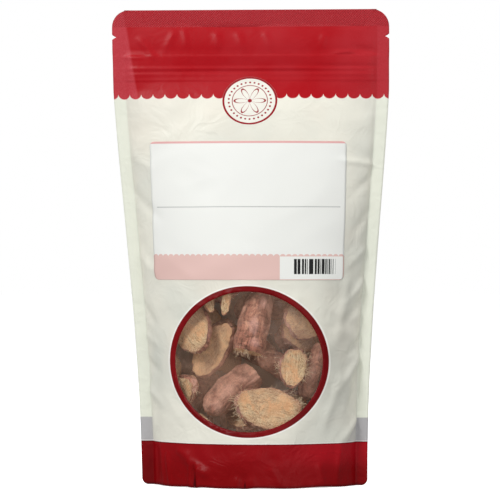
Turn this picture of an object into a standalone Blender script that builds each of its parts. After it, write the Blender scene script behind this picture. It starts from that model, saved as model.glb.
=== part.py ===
"""Stand-up pouch of dried galangal slices: a filled, sealed retail pouch on its oval foot.

Metres, +Z up. The front faces -Y. The origin is on the ground under the middle of the pouch.
"""

import math
import random

import bmesh
import bpy
from mathutils import Euler, Matrix, Vector
from mathutils.bvhtree import BVHTree

# Pouch, as it lies flat before it is filled
FLAT_WIDTH = 0.180
HEIGHT = 0.3075
SIDE_SEAL = 0.0080
TOP_SEAL_START = 0.297
TOP_CORNER_RADIUS = 0.0110
BOTTOM_CORNER_RADIUS = 0.0030
FILM = 0.0004
GAP = 0.0003

# Pouch, as the filling swells it
BULGE = 0.0405
BULGE_POWER = 1.8
BULGE_EASE = 0.78
SECTION_ROUNDNESS = 0.65
ZIP_HEIGHT = 0.268
ZIP_PINCH = 0.0022
ZIP_PINCH_SPREAD = 0.013
HEAD_BULGE = 0.0024
SECTION_STEPS = 96

# Columns and rows of a panel's faces: turns in degrees, start, end and count, heights
PANEL_TURNS = (-90, -79, -67, -55, -43.5, -32.5, -21.5, -10.5)
PANEL_BODY_ROWS = (0.014, 0.242, 17)
PANEL_HEAD_ROWS = (0.2505, 0.2560, 0.2605, 0.2645, 0.2680, 0.2715, 0.2755, 0.2800, 0.2860, 0.2920, 0.2970)
CORNER_TURNS = (0, 30, 60, 90)

# How far the filled foot stands to one side of the top
LEAN = 0.0030

# Window and tear notches
WINDOW_CENTRE = (-0.001, 0.0807)
WINDOW_HALF = (0.0475, 0.0447)
WINDOW_SIDES = 48
WINDOW_PANE_ROWS = (0.020, 0.150)
WINDOW_PANE_REACH = 0.064
WINDOW_PANE_COLUMNS = 16
NOTCH_HEIGHT = 0.290
NOTCH_DEPTH = 0.0024
NOTCH_REACH = 2.6
NOTCH_HALF_HEIGHT = 0.0024
NOTCH_CUT_LENGTH = 0.02

# How far the cutters reach along Y
CUT_START = 0.002
CUT_DEPTH = 0.08

# Floor gusset: its columns are turns in degrees, its rows run from the front seal, -1, to the back seal, 1,
# with the foot of each skirt beyond them
GUSSET_TURNS = (0, 12, 24, 36, 48, 59, 70, 80)
GUSSET_ROWS = (-1.3, -1.0, -0.86, -0.66, -0.42, -0.15, 0.15, 0.42, 0.66, 0.86, 1.0, 1.3)
GUSSET_SEAL_LOW = 0.005
GUSSET_SEAL_HIGH = 0.042
GUSSET_REACH = 0.975
GUSSET_SKIRT = 0.0012
GUSSET_SEAL_CURVE = 2.6
GUSSET_CLEARANCE = 1.8
GUSSET_INWARD = 0.58
FOOT_FLAT = 0.45
FOOT_FOLD = 0.045
FOOT_FOLD_CURVE = 1.7

# Zip
ZIP_HALF_WIDTH = 0.0735
ZIP_STRIP = (0.0005, 0.0110)
ZIP_RIB = (0.0014, 0.0014)
ZIP_RIB_PITCH = 0.0044
ZIP_RIB_INSET = 0.002
ZIP_OVERLAP = 0.0001
ZIP_CORNER_POWER = 24

# Label
LABEL_CENTRE = (-0.0016, 0.1773)
LABEL_SIZE = (0.1288, 0.0890)
LABEL_THICKNESS = 0.0003
LABEL_CORNER = 0.003
LABEL_MARGIN = 0.004

# Contents: rings of a piece from one end to the other, as shares of its size, and how far they vary
PIECE_SIDES = 12
SLICE_RINGS = (0.0, 0.56, 0.95, 1.02, 0.93, 0.54, 0.0)
SLICE_HEIGHTS = (0.38, 0.44, 0.42, 0.0, -0.42, -0.44, -0.36)
SLICE_OUTLINE = (0.12, (2, 3, 5))
SLICE_RIPPLE = (0.10, (2, 3))
SLICE_WARP = 0.14
SLICE_SLANT = 0.25
FINGER_RINGS = (0.0, 0.80, 0.97, 0.90, 1.0, 0.88, 0.80, 0.52, 0.0)
FINGER_HEIGHTS = (0.46, 0.49, 0.36, 0.20, 0.06, -0.14, -0.30, -0.45, -0.52)
FINGER_OUTLINE = (0.08, (2, 3, 5))
FINGER_TWIST = 0.3
FINGER_BEND = (0.10, 0.26)
SHARP_ANGLE = 50

# How the pieces fill the pouch
CONTENT_MARGIN = 0.0004
CONTENT_HEIGHTS = (0.002, 0.235)
CONTENT_REACH = 0.965
FLOOR_CLEARANCE = 0.0012
GUSSET_LIP = 0.004
FILL_START = 0.010
FILL_TOP = 0.150
FILL_SPREAD = (0.064, 0.030)
FILL_STEP = 0.002
PRESS_RANGE = (-0.0395, 0.024)
PRESS_STEPS = 84
FILL_PIECES = 41
FILL_TRIES = 1100
FILL_LONGEST = 0.045
FILL_SHORTEST = 0.024
FILL_FINGER_SHARE = 0.25
FILL_SLICE_WIDTH = (0.62, 0.88)
FILL_SLICE_THICKNESS = (0.0075, 0.0100)
FILL_FINGER_WIDTH = (0.52, 0.60)
FILL_FINGER_THICKNESS = (0.46, 0.54)
SEED = 7

COLOURS = {
    "printed_film": ((0.80, 0.79, 0.73), 0.42),
    "foot_film": ((0.24, 0.012, 0.018), 0.45),
    "clear_film": ((0.90, 0.89, 0.86), 0.12),
    "zip_plastic": ((0.82, 0.81, 0.76), 0.30),
    "label_paper": ((0.90, 0.91, 0.87), 0.60),
    "root_flesh": ((0.52, 0.36, 0.19), 0.85),
    "root_skin": ((0.24, 0.15, 0.11), 0.80),
}


def material(name):
    """One Principled material from the table of colours."""
    made = bpy.data.materials.get(name)
    if made:
        return made
    colour, roughness = COLOURS[name]
    made = bpy.data.materials.new(name)
    made.use_nodes = True
    shader = made.node_tree.nodes["Principled BSDF"]
    shader.inputs["Base Color"].default_value = (*colour, 1.0)
    shader.inputs["Roughness"].default_value = roughness
    shader.inputs["Metallic"].default_value = 0.0
    return made


def collection(name):
    made = bpy.data.collections.new(name)
    bpy.context.scene.collection.children.link(made)
    return made


def add_object(name, bm, group, colour=None):
    """Turn a bmesh into a named object in its collection."""
    mesh = bpy.data.meshes.new(name)
    bm.to_mesh(mesh)
    bm.free()
    made = bpy.data.objects.new(name, mesh)
    group.objects.link(made)
    if colour:
        mesh.materials.append(material(colour))
        mesh.shade_smooth()
    return made


def solidify(made, thickness):
    wall = made.modifiers.new("wall", "SOLIDIFY")
    wall.thickness = thickness
    wall.offset = 0.0
    wall.use_even_offset = False


def cut(made, cutter, operation="DIFFERENCE"):
    trim = made.modifiers.new("cut", "BOOLEAN")
    trim.operation = operation
    trim.object = cutter
    trim.solver = "EXACT"


# The pouch's swollen form


def swell(z):
    """Half the depth of the pouch at its middle, from the ground up to the closed zip."""
    share = min(max(z, 0.0) / ZIP_HEIGHT, 1.0)
    return BULGE * (1.0 - share**BULGE_POWER) ** BULGE_EASE


def head_swell(z):
    """The little air left between the zip and the top seal."""
    share = (z - ZIP_HEIGHT) / (TOP_SEAL_START - ZIP_HEIGHT)
    return HEAD_BULGE * math.sin(math.pi * share) if 0.0 < share < 1.0 else 0.0


def zip_swell(z):
    """The closed zip holds the two panels this far off the middle plane."""
    share = abs(z - ZIP_HEIGHT) / ZIP_PINCH_SPREAD
    return ZIP_PINCH * (1.0 - share**2) ** 0.5 if share < 1.0 else 0.0


def section_depth(sine, z):
    """How far a panel stands off the middle plane, at a share of the open width."""
    open_share = max(1.0 - sine * sine, 0.0)
    lens = (swell(z) + head_swell(z)) * open_share**SECTION_ROUNDNESS
    pinch = zip_swell(z) * max(1.0 - sine**ZIP_CORNER_POWER, 0.0)
    return math.hypot(lens, pinch)


sections = {}


def section(z):
    """Film length against position across one section, with the width that the film allows."""
    key = round(z, 6)
    if key in sections:
        return sections[key]
    film_length = FLAT_WIDTH / 2 - SIDE_SEAL
    sines = [math.sin(math.pi / 2 * step / SECTION_STEPS) for step in range(SECTION_STEPS + 1)]
    depths = [section_depth(sine, z) for sine in sines]
    low, high = film_length * 0.5, film_length
    lengths = []
    for _ in range(40):
        half_width = (low + high) / 2
        lengths = [0.0]
        for step in range(SECTION_STEPS):
            across = half_width * (sines[step + 1] - sines[step])
            lengths.append(lengths[-1] + math.hypot(across, depths[step + 1] - depths[step]))
        if lengths[-1] > film_length:
            high = half_width
        else:
            low = half_width
    sections[key] = (half_width, sines, depths, lengths)
    return sections[key]


def film_place(u, z):
    """Where the film at u, measured along it from its middle, stands: across and off the middle plane."""
    half_width, sines, depths, lengths = section(z)
    along = abs(u)
    side = math.copysign(1.0, u)
    if along >= lengths[-1]:
        return side * (half_width + along - lengths[-1]), 0.0
    step = 0
    while lengths[step + 1] < along:
        step += 1
    share = (along - lengths[step]) / (lengths[step + 1] - lengths[step])
    sine = sines[step] + share * (sines[step + 1] - sines[step])
    depth = depths[step] + share * (depths[step + 1] - depths[step])
    return side * half_width * sine, depth


MIDDLE_OFFSET = FILM / 2 + GAP / 2


def film_point(u, z, side):
    """A point of a panel's middle surface; side is -1 for the front and 1 for the back."""
    across, depth = film_place(u, z)
    return Vector((across, side * (depth + MIDDLE_OFFSET), z))


def film_normal(u, z, side):
    step = 0.0008
    along = film_point(u + step, z, side) - film_point(u - step, z, side)
    low, high = max(z - step, 0.0), min(z + step, HEIGHT)
    up = film_point(u, high, side) - film_point(u, low, side)
    normal = along.cross(up).normalized()
    return normal if normal.y * side > 0 else -normal


def outline_half(z):
    """Half the flat width, drawn in at the rounded corners."""
    half = FLAT_WIDTH / 2
    for distance, radius in ((HEIGHT - z, TOP_CORNER_RADIUS), (z, BOTTOM_CORNER_RADIUS)):
        if distance < radius:
            half -= radius - math.sqrt(radius**2 - (radius - distance) ** 2)
    return half


def evenly(start, end, count):
    return [start + (end - start) * step / count for step in range(count + 1)]


def corner_rows(edge, radius, towards):
    """Heights that follow a rounded corner, from its edge inwards."""
    return [edge + towards * radius * (1.0 - math.cos(math.radians(turn))) for turn in CORNER_TURNS]


def panel_columns():
    inner = FLAT_WIDTH / 2 - SIDE_SEAL
    left = [math.sin(math.radians(turn)) * inner for turn in PANEL_TURNS]
    middle = left + [0.0] + [-place for place in reversed(left)]
    return [-FLAT_WIDTH / 2] + middle + [FLAT_WIDTH / 2]


def panel_rows():
    bottom = corner_rows(0.0, BOTTOM_CORNER_RADIUS, 1)
    top = list(reversed(corner_rows(HEIGHT, TOP_CORNER_RADIUS, -1)))
    return bottom + evenly(*PANEL_BODY_ROWS) + list(PANEL_HEAD_ROWS) + top


def sheet(columns, rows, place):
    """A primitive grid whose points are moved to place(column, row)."""
    bm = bmesh.new()
    bmesh.ops.create_grid(bm, x_segments=len(columns) - 1, y_segments=len(rows) - 1, size=1.0)
    for vertex in bm.verts:
        column = columns[round((vertex.co.x + 1) / 2 * (len(columns) - 1))]
        row = rows[round((vertex.co.y + 1) / 2 * (len(rows) - 1))]
        vertex.co = place(column, row)
    return bm


def elliptic_cutter(name, grow, group):
    """A tall oval prism along Y through the front panel only."""
    bm = bmesh.new()
    bmesh.ops.create_cone(bm, cap_ends=True, segments=WINDOW_SIDES, radius1=1.0, radius2=1.0, depth=1.0)
    half_x, half_z = WINDOW_HALF[0] + grow, WINDOW_HALF[1] + grow
    turn = Matrix.Rotation(math.pi / 2, 4, "X")
    size = Matrix.Diagonal((half_x, CUT_DEPTH, half_z, 1.0))
    place = Matrix.Translation((WINDOW_CENTRE[0], -CUT_DEPTH / 2 - CUT_START, WINDOW_CENTRE[1]))
    bmesh.ops.transform(bm, matrix=place @ size @ turn, verts=bm.verts)
    made = add_object(name, bm, group)
    made.hide_render = True
    made.display_type = "WIRE"
    return made


def notch_cutter(name, side, group):
    """A three-sided prism along Y that bites into one side seal."""
    bm = bmesh.new()
    bmesh.ops.create_cone(bm, cap_ends=True, segments=3, radius1=1.0, radius2=1.0, depth=NOTCH_CUT_LENGTH)
    bmesh.ops.rotate(bm, verts=bm.verts, matrix=Matrix.Rotation(math.pi / 2, 3, "X"))
    reach = max(vertex.co.x for vertex in bm.verts) - min(vertex.co.x for vertex in bm.verts)
    edge = section(NOTCH_HEIGHT)[0] + SIDE_SEAL
    for vertex in bm.verts:
        vertex.co.x *= NOTCH_REACH * NOTCH_DEPTH / reach
        vertex.co.z *= NOTCH_HALF_HEIGHT
    low = min(vertex.co.x for vertex in bm.verts)
    for vertex in bm.verts:
        vertex.co.x = side * (edge - NOTCH_DEPTH + (vertex.co.x - low))
        vertex.co.z += NOTCH_HEIGHT
    bmesh.ops.recalc_face_normals(bm, faces=bm.faces)
    made = add_object(name, bm, group)
    made.hide_render = True
    made.display_type = "WIRE"
    return made


def panel(name, side, group):
    """One whole panel of the pouch, seals and all."""

    def place(u, z):
        edge = outline_half(z)
        return film_point(math.copysign(min(abs(u), edge), u), z, side)

    made = add_object(name, sheet(panel_columns(), panel_rows(), place), group, "printed_film")
    solidify(made, FILM)
    return made


def window_film(cutter, group):
    """The clear film that closes the window, from the same swollen surface."""
    columns = evenly(-WINDOW_PANE_REACH, WINDOW_PANE_REACH, WINDOW_PANE_COLUMNS)
    rows = [row for row in panel_rows() if WINDOW_PANE_ROWS[0] < row < WINDOW_PANE_ROWS[1]]
    bm = sheet(columns, rows, lambda u, z: film_point(u, z, -1))
    made = add_object("window_film", bm, group, "clear_film")
    solidify(made, FILM)
    cut(made, cutter, "INTERSECT")
    return made


def label(group):
    """The paper label, stuck on the front panel."""
    half_width, half_height = LABEL_SIZE[0] / 2, LABEL_SIZE[1] / 2
    low = LABEL_CENTRE[1] - half_height
    top = low + LABEL_SIZE[1]
    inside = [row for row in panel_rows() if low + LABEL_MARGIN < row < top - LABEL_MARGIN]
    rows = corner_rows(low, LABEL_CORNER, 1) + inside + list(reversed(corner_rows(top, LABEL_CORNER, -1)))
    columns = [-half_width] + [u for u in panel_columns() if abs(u) < half_width - LABEL_MARGIN] + [half_width]
    lift = FILM / 2 + GAP + LABEL_THICKNESS / 2

    def place(u, z):
        half = half_width
        distance = min(z - low, top - z)
        if distance < LABEL_CORNER:
            half -= LABEL_CORNER - math.sqrt(max(LABEL_CORNER**2 - (LABEL_CORNER - distance) ** 2, 0.0))
        along = LABEL_CENTRE[0] + math.copysign(min(abs(u), half), u)
        return film_point(along, z, -1) + film_normal(along, z, -1) * lift

    made = add_object("label", sheet(columns, rows, place), group, "label_paper")
    solidify(made, LABEL_THICKNESS)
    return made


# The floor gusset


def gusset_seal(share):
    """Height of the curved seal that joins the floor to a panel, low in the middle and high at the sides."""
    return GUSSET_SEAL_LOW + (GUSSET_SEAL_HIGH - GUSSET_SEAL_LOW) * abs(share) ** GUSSET_SEAL_CURVE


def gusset_floor(share):
    """Height of the floor's middle, flat on the ground in the middle and folded up at the sides."""
    rise = max(abs(share) - FOOT_FLAT, 0.0) / (1.0 - FOOT_FLAT)
    return FILM / 2 + FOOT_FOLD * rise**FOOT_FOLD_CURVE


def gusset(group):
    """The floor film: a skirt sealed inside each panel, and a floor that sags to the ground."""
    shares = [math.sin(math.radians(turn)) for turn in GUSSET_TURNS]
    reach = [GUSSET_REACH * share / shares[-1] for share in shares]
    columns = [-share for share in reversed(reach[1:])] + reach
    lift = FILM + GAP

    def inner_wall(share, z, side):
        half_width = section(z)[0]
        depth = section_depth(abs(share), z) + MIDDLE_OFFSET - lift * (1.0 + GUSSET_CLEARANCE * share**2)
        return Vector((share * half_width, side * depth, z))

    def place(share, row):
        side = math.copysign(1.0, row)
        seal = gusset_seal(share)
        if abs(row) > 1.0:
            return inner_wall(share, GUSSET_SKIRT, side)
        edge = inner_wall(share, seal, side)
        inward = min(1.0, (1.0 - abs(row)) / GUSSET_INWARD)
        floor = gusset_floor(share)
        blend = inward * inward * (3.0 - 2.0 * inward)
        if floor > seal:
            blend = math.sin(inward * math.pi / 2)
        height = seal + (floor - seal) * blend
        return Vector((edge.x, edge.y * abs(row), height))

    made = add_object("bottom_gusset", sheet(columns, GUSSET_ROWS, place), group, "foot_film")
    solidify(made, FILM)
    return made


# The zip


def zip_strip(name, side, rib_rows, group):
    """One half of the press zip: a flat strip with long ribs towards the other half."""
    thick, tall = ZIP_STRIP
    out, rib_tall = ZIP_RIB
    face = ZIP_PINCH - FILM / 2 - GAP
    bm = bmesh.new()
    bmesh.ops.create_cube(bm, size=1.0)
    for vertex in bm.verts:
        vertex.co.x *= 2 * ZIP_HALF_WIDTH
        vertex.co.y = side * (face - thick / 2) + vertex.co.y * thick
        vertex.co.z = ZIP_HEIGHT + vertex.co.z * tall
    made = add_object(name, bm, group, "zip_plastic")
    for index, row in enumerate(rib_rows):
        rib = bmesh.new()
        bmesh.ops.create_cube(rib, size=1.0)
        for vertex in rib.verts:
            vertex.co.x *= 2 * (ZIP_HALF_WIDTH - ZIP_RIB_INSET)
            middle = face - thick - out / 2 + ZIP_OVERLAP
            vertex.co.y = side * middle + vertex.co.y * (out + 2 * ZIP_OVERLAP)
            vertex.co.z = ZIP_HEIGHT + row * ZIP_RIB_PITCH + vertex.co.z * rib_tall
        cutter = add_object(f"{name}_rib_{index}", rib, cutters)
        cutter.hide_render = True
        cutter.display_type = "WIRE"
        cut(made, cutter, "UNION")
    return made


# Dried slices


def seeded_waves(draw, size, orders):
    return [(order, draw.uniform(0.3, 1.0) * size / order**0.5, draw.uniform(0, 2 * math.pi)) for order in orders]


def wave_sum(waves, angle):
    return sum(size * math.cos(order * angle + phase) for order, size, phase in waves)


def ringed_body(rings, heights, shape):
    """A primitive sphere whose rings are moved to shape(ring radius, ring height, angle, ring)."""
    bm = bmesh.new()
    bmesh.ops.create_uvsphere(bm, u_segments=PIECE_SIDES, v_segments=len(rings) - 1, radius=1.0)
    for vertex in bm.verts:
        ring = round(math.acos(max(-1.0, min(1.0, vertex.co.z))) / math.pi * (len(rings) - 1))
        angle = math.atan2(vertex.co.y, vertex.co.x)
        vertex.co = shape(rings[ring], heights[ring], angle, ring)
    return bm


def slice_body(draw, length, width, thickness):
    """A dried slice: two dished cut faces, a shrunken skin edge and a warp from drying."""
    outline = seeded_waves(draw, *SLICE_OUTLINE)
    ripple = seeded_waves(draw, *SLICE_RIPPLE)
    warp = draw.uniform(-SLICE_WARP, SLICE_WARP)
    slant = draw.uniform(-SLICE_SLANT, SLICE_SLANT)

    def shape(radius, height, angle, ring):
        reach = radius * (1.0 + wave_sum(outline, angle))
        x, y = reach * math.cos(angle) * length / 2, reach * math.sin(angle) * width / 2
        lift = warp * (radius**2) * math.cos(2 * angle) * length / 2
        z = height * thickness * (1.0 + radius * wave_sum(ripple, angle)) + lift
        return Vector((x + slant * z, y, z))

    return ringed_body(SLICE_RINGS, SLICE_HEIGHTS, shape)


def finger_body(draw, length, width, thickness):
    """A finger end of the root: one cut face and one tapered, bent tip with scar rings."""
    outline = seeded_waves(draw, *FINGER_OUTLINE)
    bend = draw.uniform(*FINGER_BEND) * draw.choice((-1, 1))

    def shape(radius, height, angle, ring):
        reach = radius * (1.0 + wave_sum(outline, angle + FINGER_TWIST * ring))
        y, z = reach * math.cos(angle) * width / 2, reach * math.sin(angle) * thickness / 2
        x = height * length
        return Vector((x, y + bend * length * (4 * height * height - 0.4) / 2, z))

    return ringed_body(FINGER_RINGS, FINGER_HEIGHTS, shape)


BODIES = {"slice": slice_body, "finger": finger_body}


def grown(bm, margin):
    """A piece's points and faces, pushed out a little, for testing that it stays clear."""
    bm.normal_update()
    points = [vertex.co + vertex.normal * margin for vertex in bm.verts]
    faces = [[vertex.index for vertex in face.verts] for face in bm.faces]
    return points, faces


def moved_tree(points, faces, matrix):
    return BVHTree.FromPolygons([matrix @ point for point in points], faces)


def inside_pouch(points, matrix):
    """True where every point is between the panels, inside the side seals and over the floor."""
    for point in points:
        place = matrix @ point
        if not CONTENT_HEIGHTS[0] < place.z < CONTENT_HEIGHTS[1]:
            return False
        half_width = section(round(place.z, 3))[0]
        share = abs(place.x) / half_width
        if share > CONTENT_REACH:
            return False
        room = section_depth(share, place.z) + MIDDLE_OFFSET - FILM / 2 - CONTENT_MARGIN - GAP
        if place.z < gusset_seal(share) + GUSSET_LIP:
            room -= FILM + GAP
        if abs(place.y) > room:
            return False
        if place.z < ground_height(share, place.y / max(room, 1e-6)) + FLOOR_CLEARANCE:
            return False
    return True


def ground_height(share, across):
    """The floor gusset's height under a point, with a little to spare."""
    seal, floor = gusset_seal(share), gusset_floor(share)
    if floor >= seal:
        return floor
    inward = min(1.0, (1.0 - min(abs(across), 1.0)) / GUSSET_INWARD)
    return seal + (floor - seal) * inward * inward * (3.0 - 2.0 * inward)


def holds(tree, point):
    """True where a point is inside a closed, roughly convex body."""
    nearest, normal, _, _ = tree.find_nearest(point)
    return (point - nearest).dot(normal) < 0.0


def free(points, faces, matrix, placed):
    """True where a piece is inside the pouch and clear of every piece placed before it."""
    if not inside_pouch(points, matrix):
        return False
    tree = moved_tree(points, faces, matrix)
    centre = matrix.translation
    return not any(
        tree.overlap(other) or holds(other, centre) or holds(tree, other_centre) for other, other_centre in placed
    )


# The pieces that show in the window: kind, across, height, size, turns about X, Y and Z in degrees
WINDOW_PIECES = (
    ("finger", 0.003, 0.107, (0.046, 0.025, 0.023), (12, 108, 40)),
    ("slice", 0.011, 0.050, (0.044, 0.032, 0.012), (76, 12, 6)),
    ("finger", -0.015, 0.060, (0.042, 0.027, 0.023), (0, -38, 24)),
    ("finger", 0.041, 0.073, (0.038, 0.022, 0.020), (0, -66, 14)),
    ("finger", 0.016, 0.078, (0.034, 0.022, 0.019), (10, 24, 46)),
    ("slice", -0.025, 0.087, (0.046, 0.022, 0.010), (84, -58, -16)),
    ("slice", 0.036, 0.103, (0.044, 0.036, 0.009), (80, -24, 26)),
    ("slice", -0.041, 0.103, (0.042, 0.034, 0.009), (78, 40, -30)),
    ("slice", -0.027, 0.122, (0.025, 0.009, 0.005), (80, 78, 0)),
    ("slice", -0.015, 0.121, (0.024, 0.008, 0.005), (82, 98, 0)),
    ("slice", 0.026, 0.130, (0.044, 0.034, 0.009), (68, -14, 14)),
    ("slice", -0.022, 0.132, (0.042, 0.026, 0.008), (70, 14, -8)),
)


def press_forward(points, faces, across, height, turn, placed):
    """The free place nearest to the window, at a given place across it and up it."""
    for start in evenly(*PRESS_RANGE, PRESS_STEPS):
        matrix = Matrix.Translation((across, start, height)) @ turn
        if free(points, faces, matrix, placed):
            return matrix
    return None


def random_turn(draw):
    return Euler([draw.uniform(0, 2 * math.pi) for _ in range(3)]).to_matrix().to_4x4()


def drop(points, faces, placed, draw):
    """The lowest free place that a number of seeded tries find, each lowered until it rests."""
    best, lowest = None, FILL_TOP
    for _ in range(FILL_TRIES):
        turn = random_turn(draw)
        height = draw.uniform(FILL_START, FILL_TOP)
        across = draw.uniform(-FILL_SPREAD[0], FILL_SPREAD[0])
        depth = draw.uniform(-FILL_SPREAD[1], FILL_SPREAD[1])
        matrix = Matrix.Translation((across, depth, height)) @ turn
        if not free(points, faces, matrix, placed):
            continue
        while True:
            below = Matrix.Translation((0.0, 0.0, -FILL_STEP)) @ matrix
            if not free(points, faces, below, placed):
                break
            matrix = below
        if matrix.translation.z < lowest:
            best, lowest = matrix, matrix.translation.z
    return best


def place_piece(kind, bm, matrix, number, placed, group):
    bmesh.ops.transform(bm, matrix=matrix, verts=bm.verts)
    colour = "root_flesh" if kind == "slice" else "root_skin"
    made = add_object(f"galangal_{kind}_{number:02d}", bm, group, colour)
    made.data.set_sharp_from_angle(angle=math.radians(SHARP_ANGLE))
    return made


def contents(group):
    """Fill the pouch: first what shows in the window, then the rest from the floor up."""
    draw = random.Random(SEED)
    placed = []
    number = 0
    todo = []
    for kind, across, height, size, turns in WINDOW_PIECES:
        todo.append((kind, size, Euler([math.radians(turn) for turn in turns]).to_matrix().to_4x4(), (across, height)))
    for rank in range(FILL_PIECES):
        kind = "finger" if draw.random() < FILL_FINGER_SHARE else "slice"
        length = FILL_LONGEST + (FILL_SHORTEST - FILL_LONGEST) * rank / FILL_PIECES
        size = (length, length * draw.uniform(*FILL_SLICE_WIDTH), draw.uniform(*FILL_SLICE_THICKNESS))
        if kind == "finger":
            width, thickness = draw.uniform(*FILL_FINGER_WIDTH), draw.uniform(*FILL_FINGER_THICKNESS)
            size = (length, length * width, length * thickness)
        todo.append((kind, size, None, None))
    for kind, size, turn, window_place in todo:
        bm = BODIES[kind](draw, *size)
        points, faces = grown(bm, CONTENT_MARGIN)
        if window_place:
            matrix = press_forward(points, faces, *window_place, turn, placed)
        else:
            matrix = drop(points, faces, placed, draw)
        if matrix is None:
            print("no room for", kind, size, window_place)
            bm.free()
            continue
        placed.append((moved_tree(points, faces, matrix), matrix.translation.copy()))
        number += 1
        place_piece(kind, bm, matrix, number, placed, group)


for old in list(bpy.data.objects):
    bpy.data.objects.remove(old, do_unlink=True)

pouch = collection("galangal_pouch")
cutters = collection("cutters")
hole = elliptic_cutter("window_hole", 0.0, cutters)
pane = elliptic_cutter("window_pane", -GAP, cutters)
notches = [notch_cutter("notch_left", -1, cutters), notch_cutter("notch_right", 1, cutters)]

front = panel("front_film", -1, pouch)
back = panel("back_film", 1, pouch)
cut(front, hole)
for film in (front, back):
    for notch in notches:
        cut(film, notch)
window_film(pane, pouch)
label(pouch)
gusset(pouch)
zip_strip("zip_front", -1, (-0.5, 0.5), pouch)
zip_strip("zip_back", 1, (0.0,), pouch)
contents(pouch)
for made in (*pouch.objects, *cutters.objects):
    for vertex in made.data.vertices:
        vertex.co.x += LEAN * (1.0 - vertex.co.z / HEIGHT)
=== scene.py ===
import math
from types import SimpleNamespace

import bmesh
import bpy
import numpy as np
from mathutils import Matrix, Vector, noise
from mathutils.bvhtree import BVHTree


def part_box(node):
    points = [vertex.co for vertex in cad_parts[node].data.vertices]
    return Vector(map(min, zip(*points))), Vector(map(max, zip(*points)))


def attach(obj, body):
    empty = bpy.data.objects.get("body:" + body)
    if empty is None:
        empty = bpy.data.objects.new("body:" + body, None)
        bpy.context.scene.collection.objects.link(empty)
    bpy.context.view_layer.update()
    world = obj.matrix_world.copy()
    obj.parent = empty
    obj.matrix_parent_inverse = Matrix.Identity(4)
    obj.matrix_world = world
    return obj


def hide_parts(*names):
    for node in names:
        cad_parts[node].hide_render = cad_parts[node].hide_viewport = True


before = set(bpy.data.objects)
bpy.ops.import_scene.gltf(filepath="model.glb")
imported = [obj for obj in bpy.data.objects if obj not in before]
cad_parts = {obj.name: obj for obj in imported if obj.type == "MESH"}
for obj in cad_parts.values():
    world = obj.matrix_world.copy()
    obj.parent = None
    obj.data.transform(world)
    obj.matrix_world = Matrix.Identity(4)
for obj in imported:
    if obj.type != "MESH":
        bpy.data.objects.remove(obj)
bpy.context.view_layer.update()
scene = bpy.context.scene
print("frame loaded:", len(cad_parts), "nodes")

# the swollen film, in metres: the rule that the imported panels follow
pouch = dict(
    flatWidth=0.180, height=0.3075, sideSeal=0.0080, topSeal=0.2965, cornerTop=0.0110, cornerFoot=0.0043,
    bulge=0.0405, bulgePower=1.8, bulgeEase=0.78, roundness=0.65, lean=0.0030,
    zipHeight=0.268, zipPinch=0.0022, zipSpread=0.013, headBulge=0.0024, headEnd=0.297,
    zipLow=0.2612, zipHigh=0.2780, zipTrack=0.2693,
    notchHeight=0.290, notchDepth=0.0026, notchHalf=0.0017,
    offset=0.00042, film=0.00030, columnStep=0.00142, rowStep=0.00142, zipStep=0.0006,
    ground=0.00002,
)
innerHalf = pouch["flatWidth"] / 2 - pouch["sideSeal"]
window = dict(centre=(-0.001, 0.0807), half=(0.0475, 0.0447), line=0.0036, halo=0.0010, haloShare=0.75)


# small tools

def eased(low, high, value):
    share = np.clip((value - low) / (high - low), 0.0, 1.0)
    return share * share * (3.0 - 2.0 * share)


def leanAt(z):
    # the filled foot stands a little to one side of the top
    return pouch["lean"] * (1.0 - z / pouch["height"])


def noiseField(u, z, width, height, seed):
    # smooth noise over film coordinates, about -1 to 1
    flatU, flatZ = np.ravel(u) / width, np.ravel(z) / height
    values = [noise.noise(Vector((a, b, seed))) for a, b in zip(flatU, flatZ)]
    return 1.6 * np.array(values).reshape(np.shape(u))


def linear(red, green, blue):
    def one(value):
        value /= 255.0
        return value / 12.92 if value <= 0.04045 else ((value + 0.055) / 1.055) ** 2.4
    return (one(red), one(green), one(blue), 1.0)


def newPiece(name, verts, faces, materials, uv=None):
    mesh = bpy.data.meshes.new(name)
    mesh.from_pydata([tuple(v) for v in verts], [], faces)
    if uv is not None:
        layer = mesh.uv_layers.new(name="filmUv")
        corners = np.empty(len(mesh.loops), dtype=np.int32)
        mesh.loops.foreach_get("vertex_index", corners)
        layer.data.foreach_set("uv", uv[corners].astype(np.float32).ravel())
    for material in materials:
        mesh.materials.append(material)
    mesh.update()
    mesh.shade_smooth()
    piece = bpy.data.objects.new(name, mesh)
    scene.collection.objects.link(piece)
    return piece


def plainMesh(piece):
    # modifiers worked into the mesh, and removed
    graph = bpy.context.evaluated_depsgraph_get()
    made = bpy.data.meshes.new_from_object(piece.evaluated_get(graph))
    old = piece.data
    piece.modifiers.clear()
    piece.data = made
    bpy.data.meshes.remove(old)
    return piece


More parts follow.
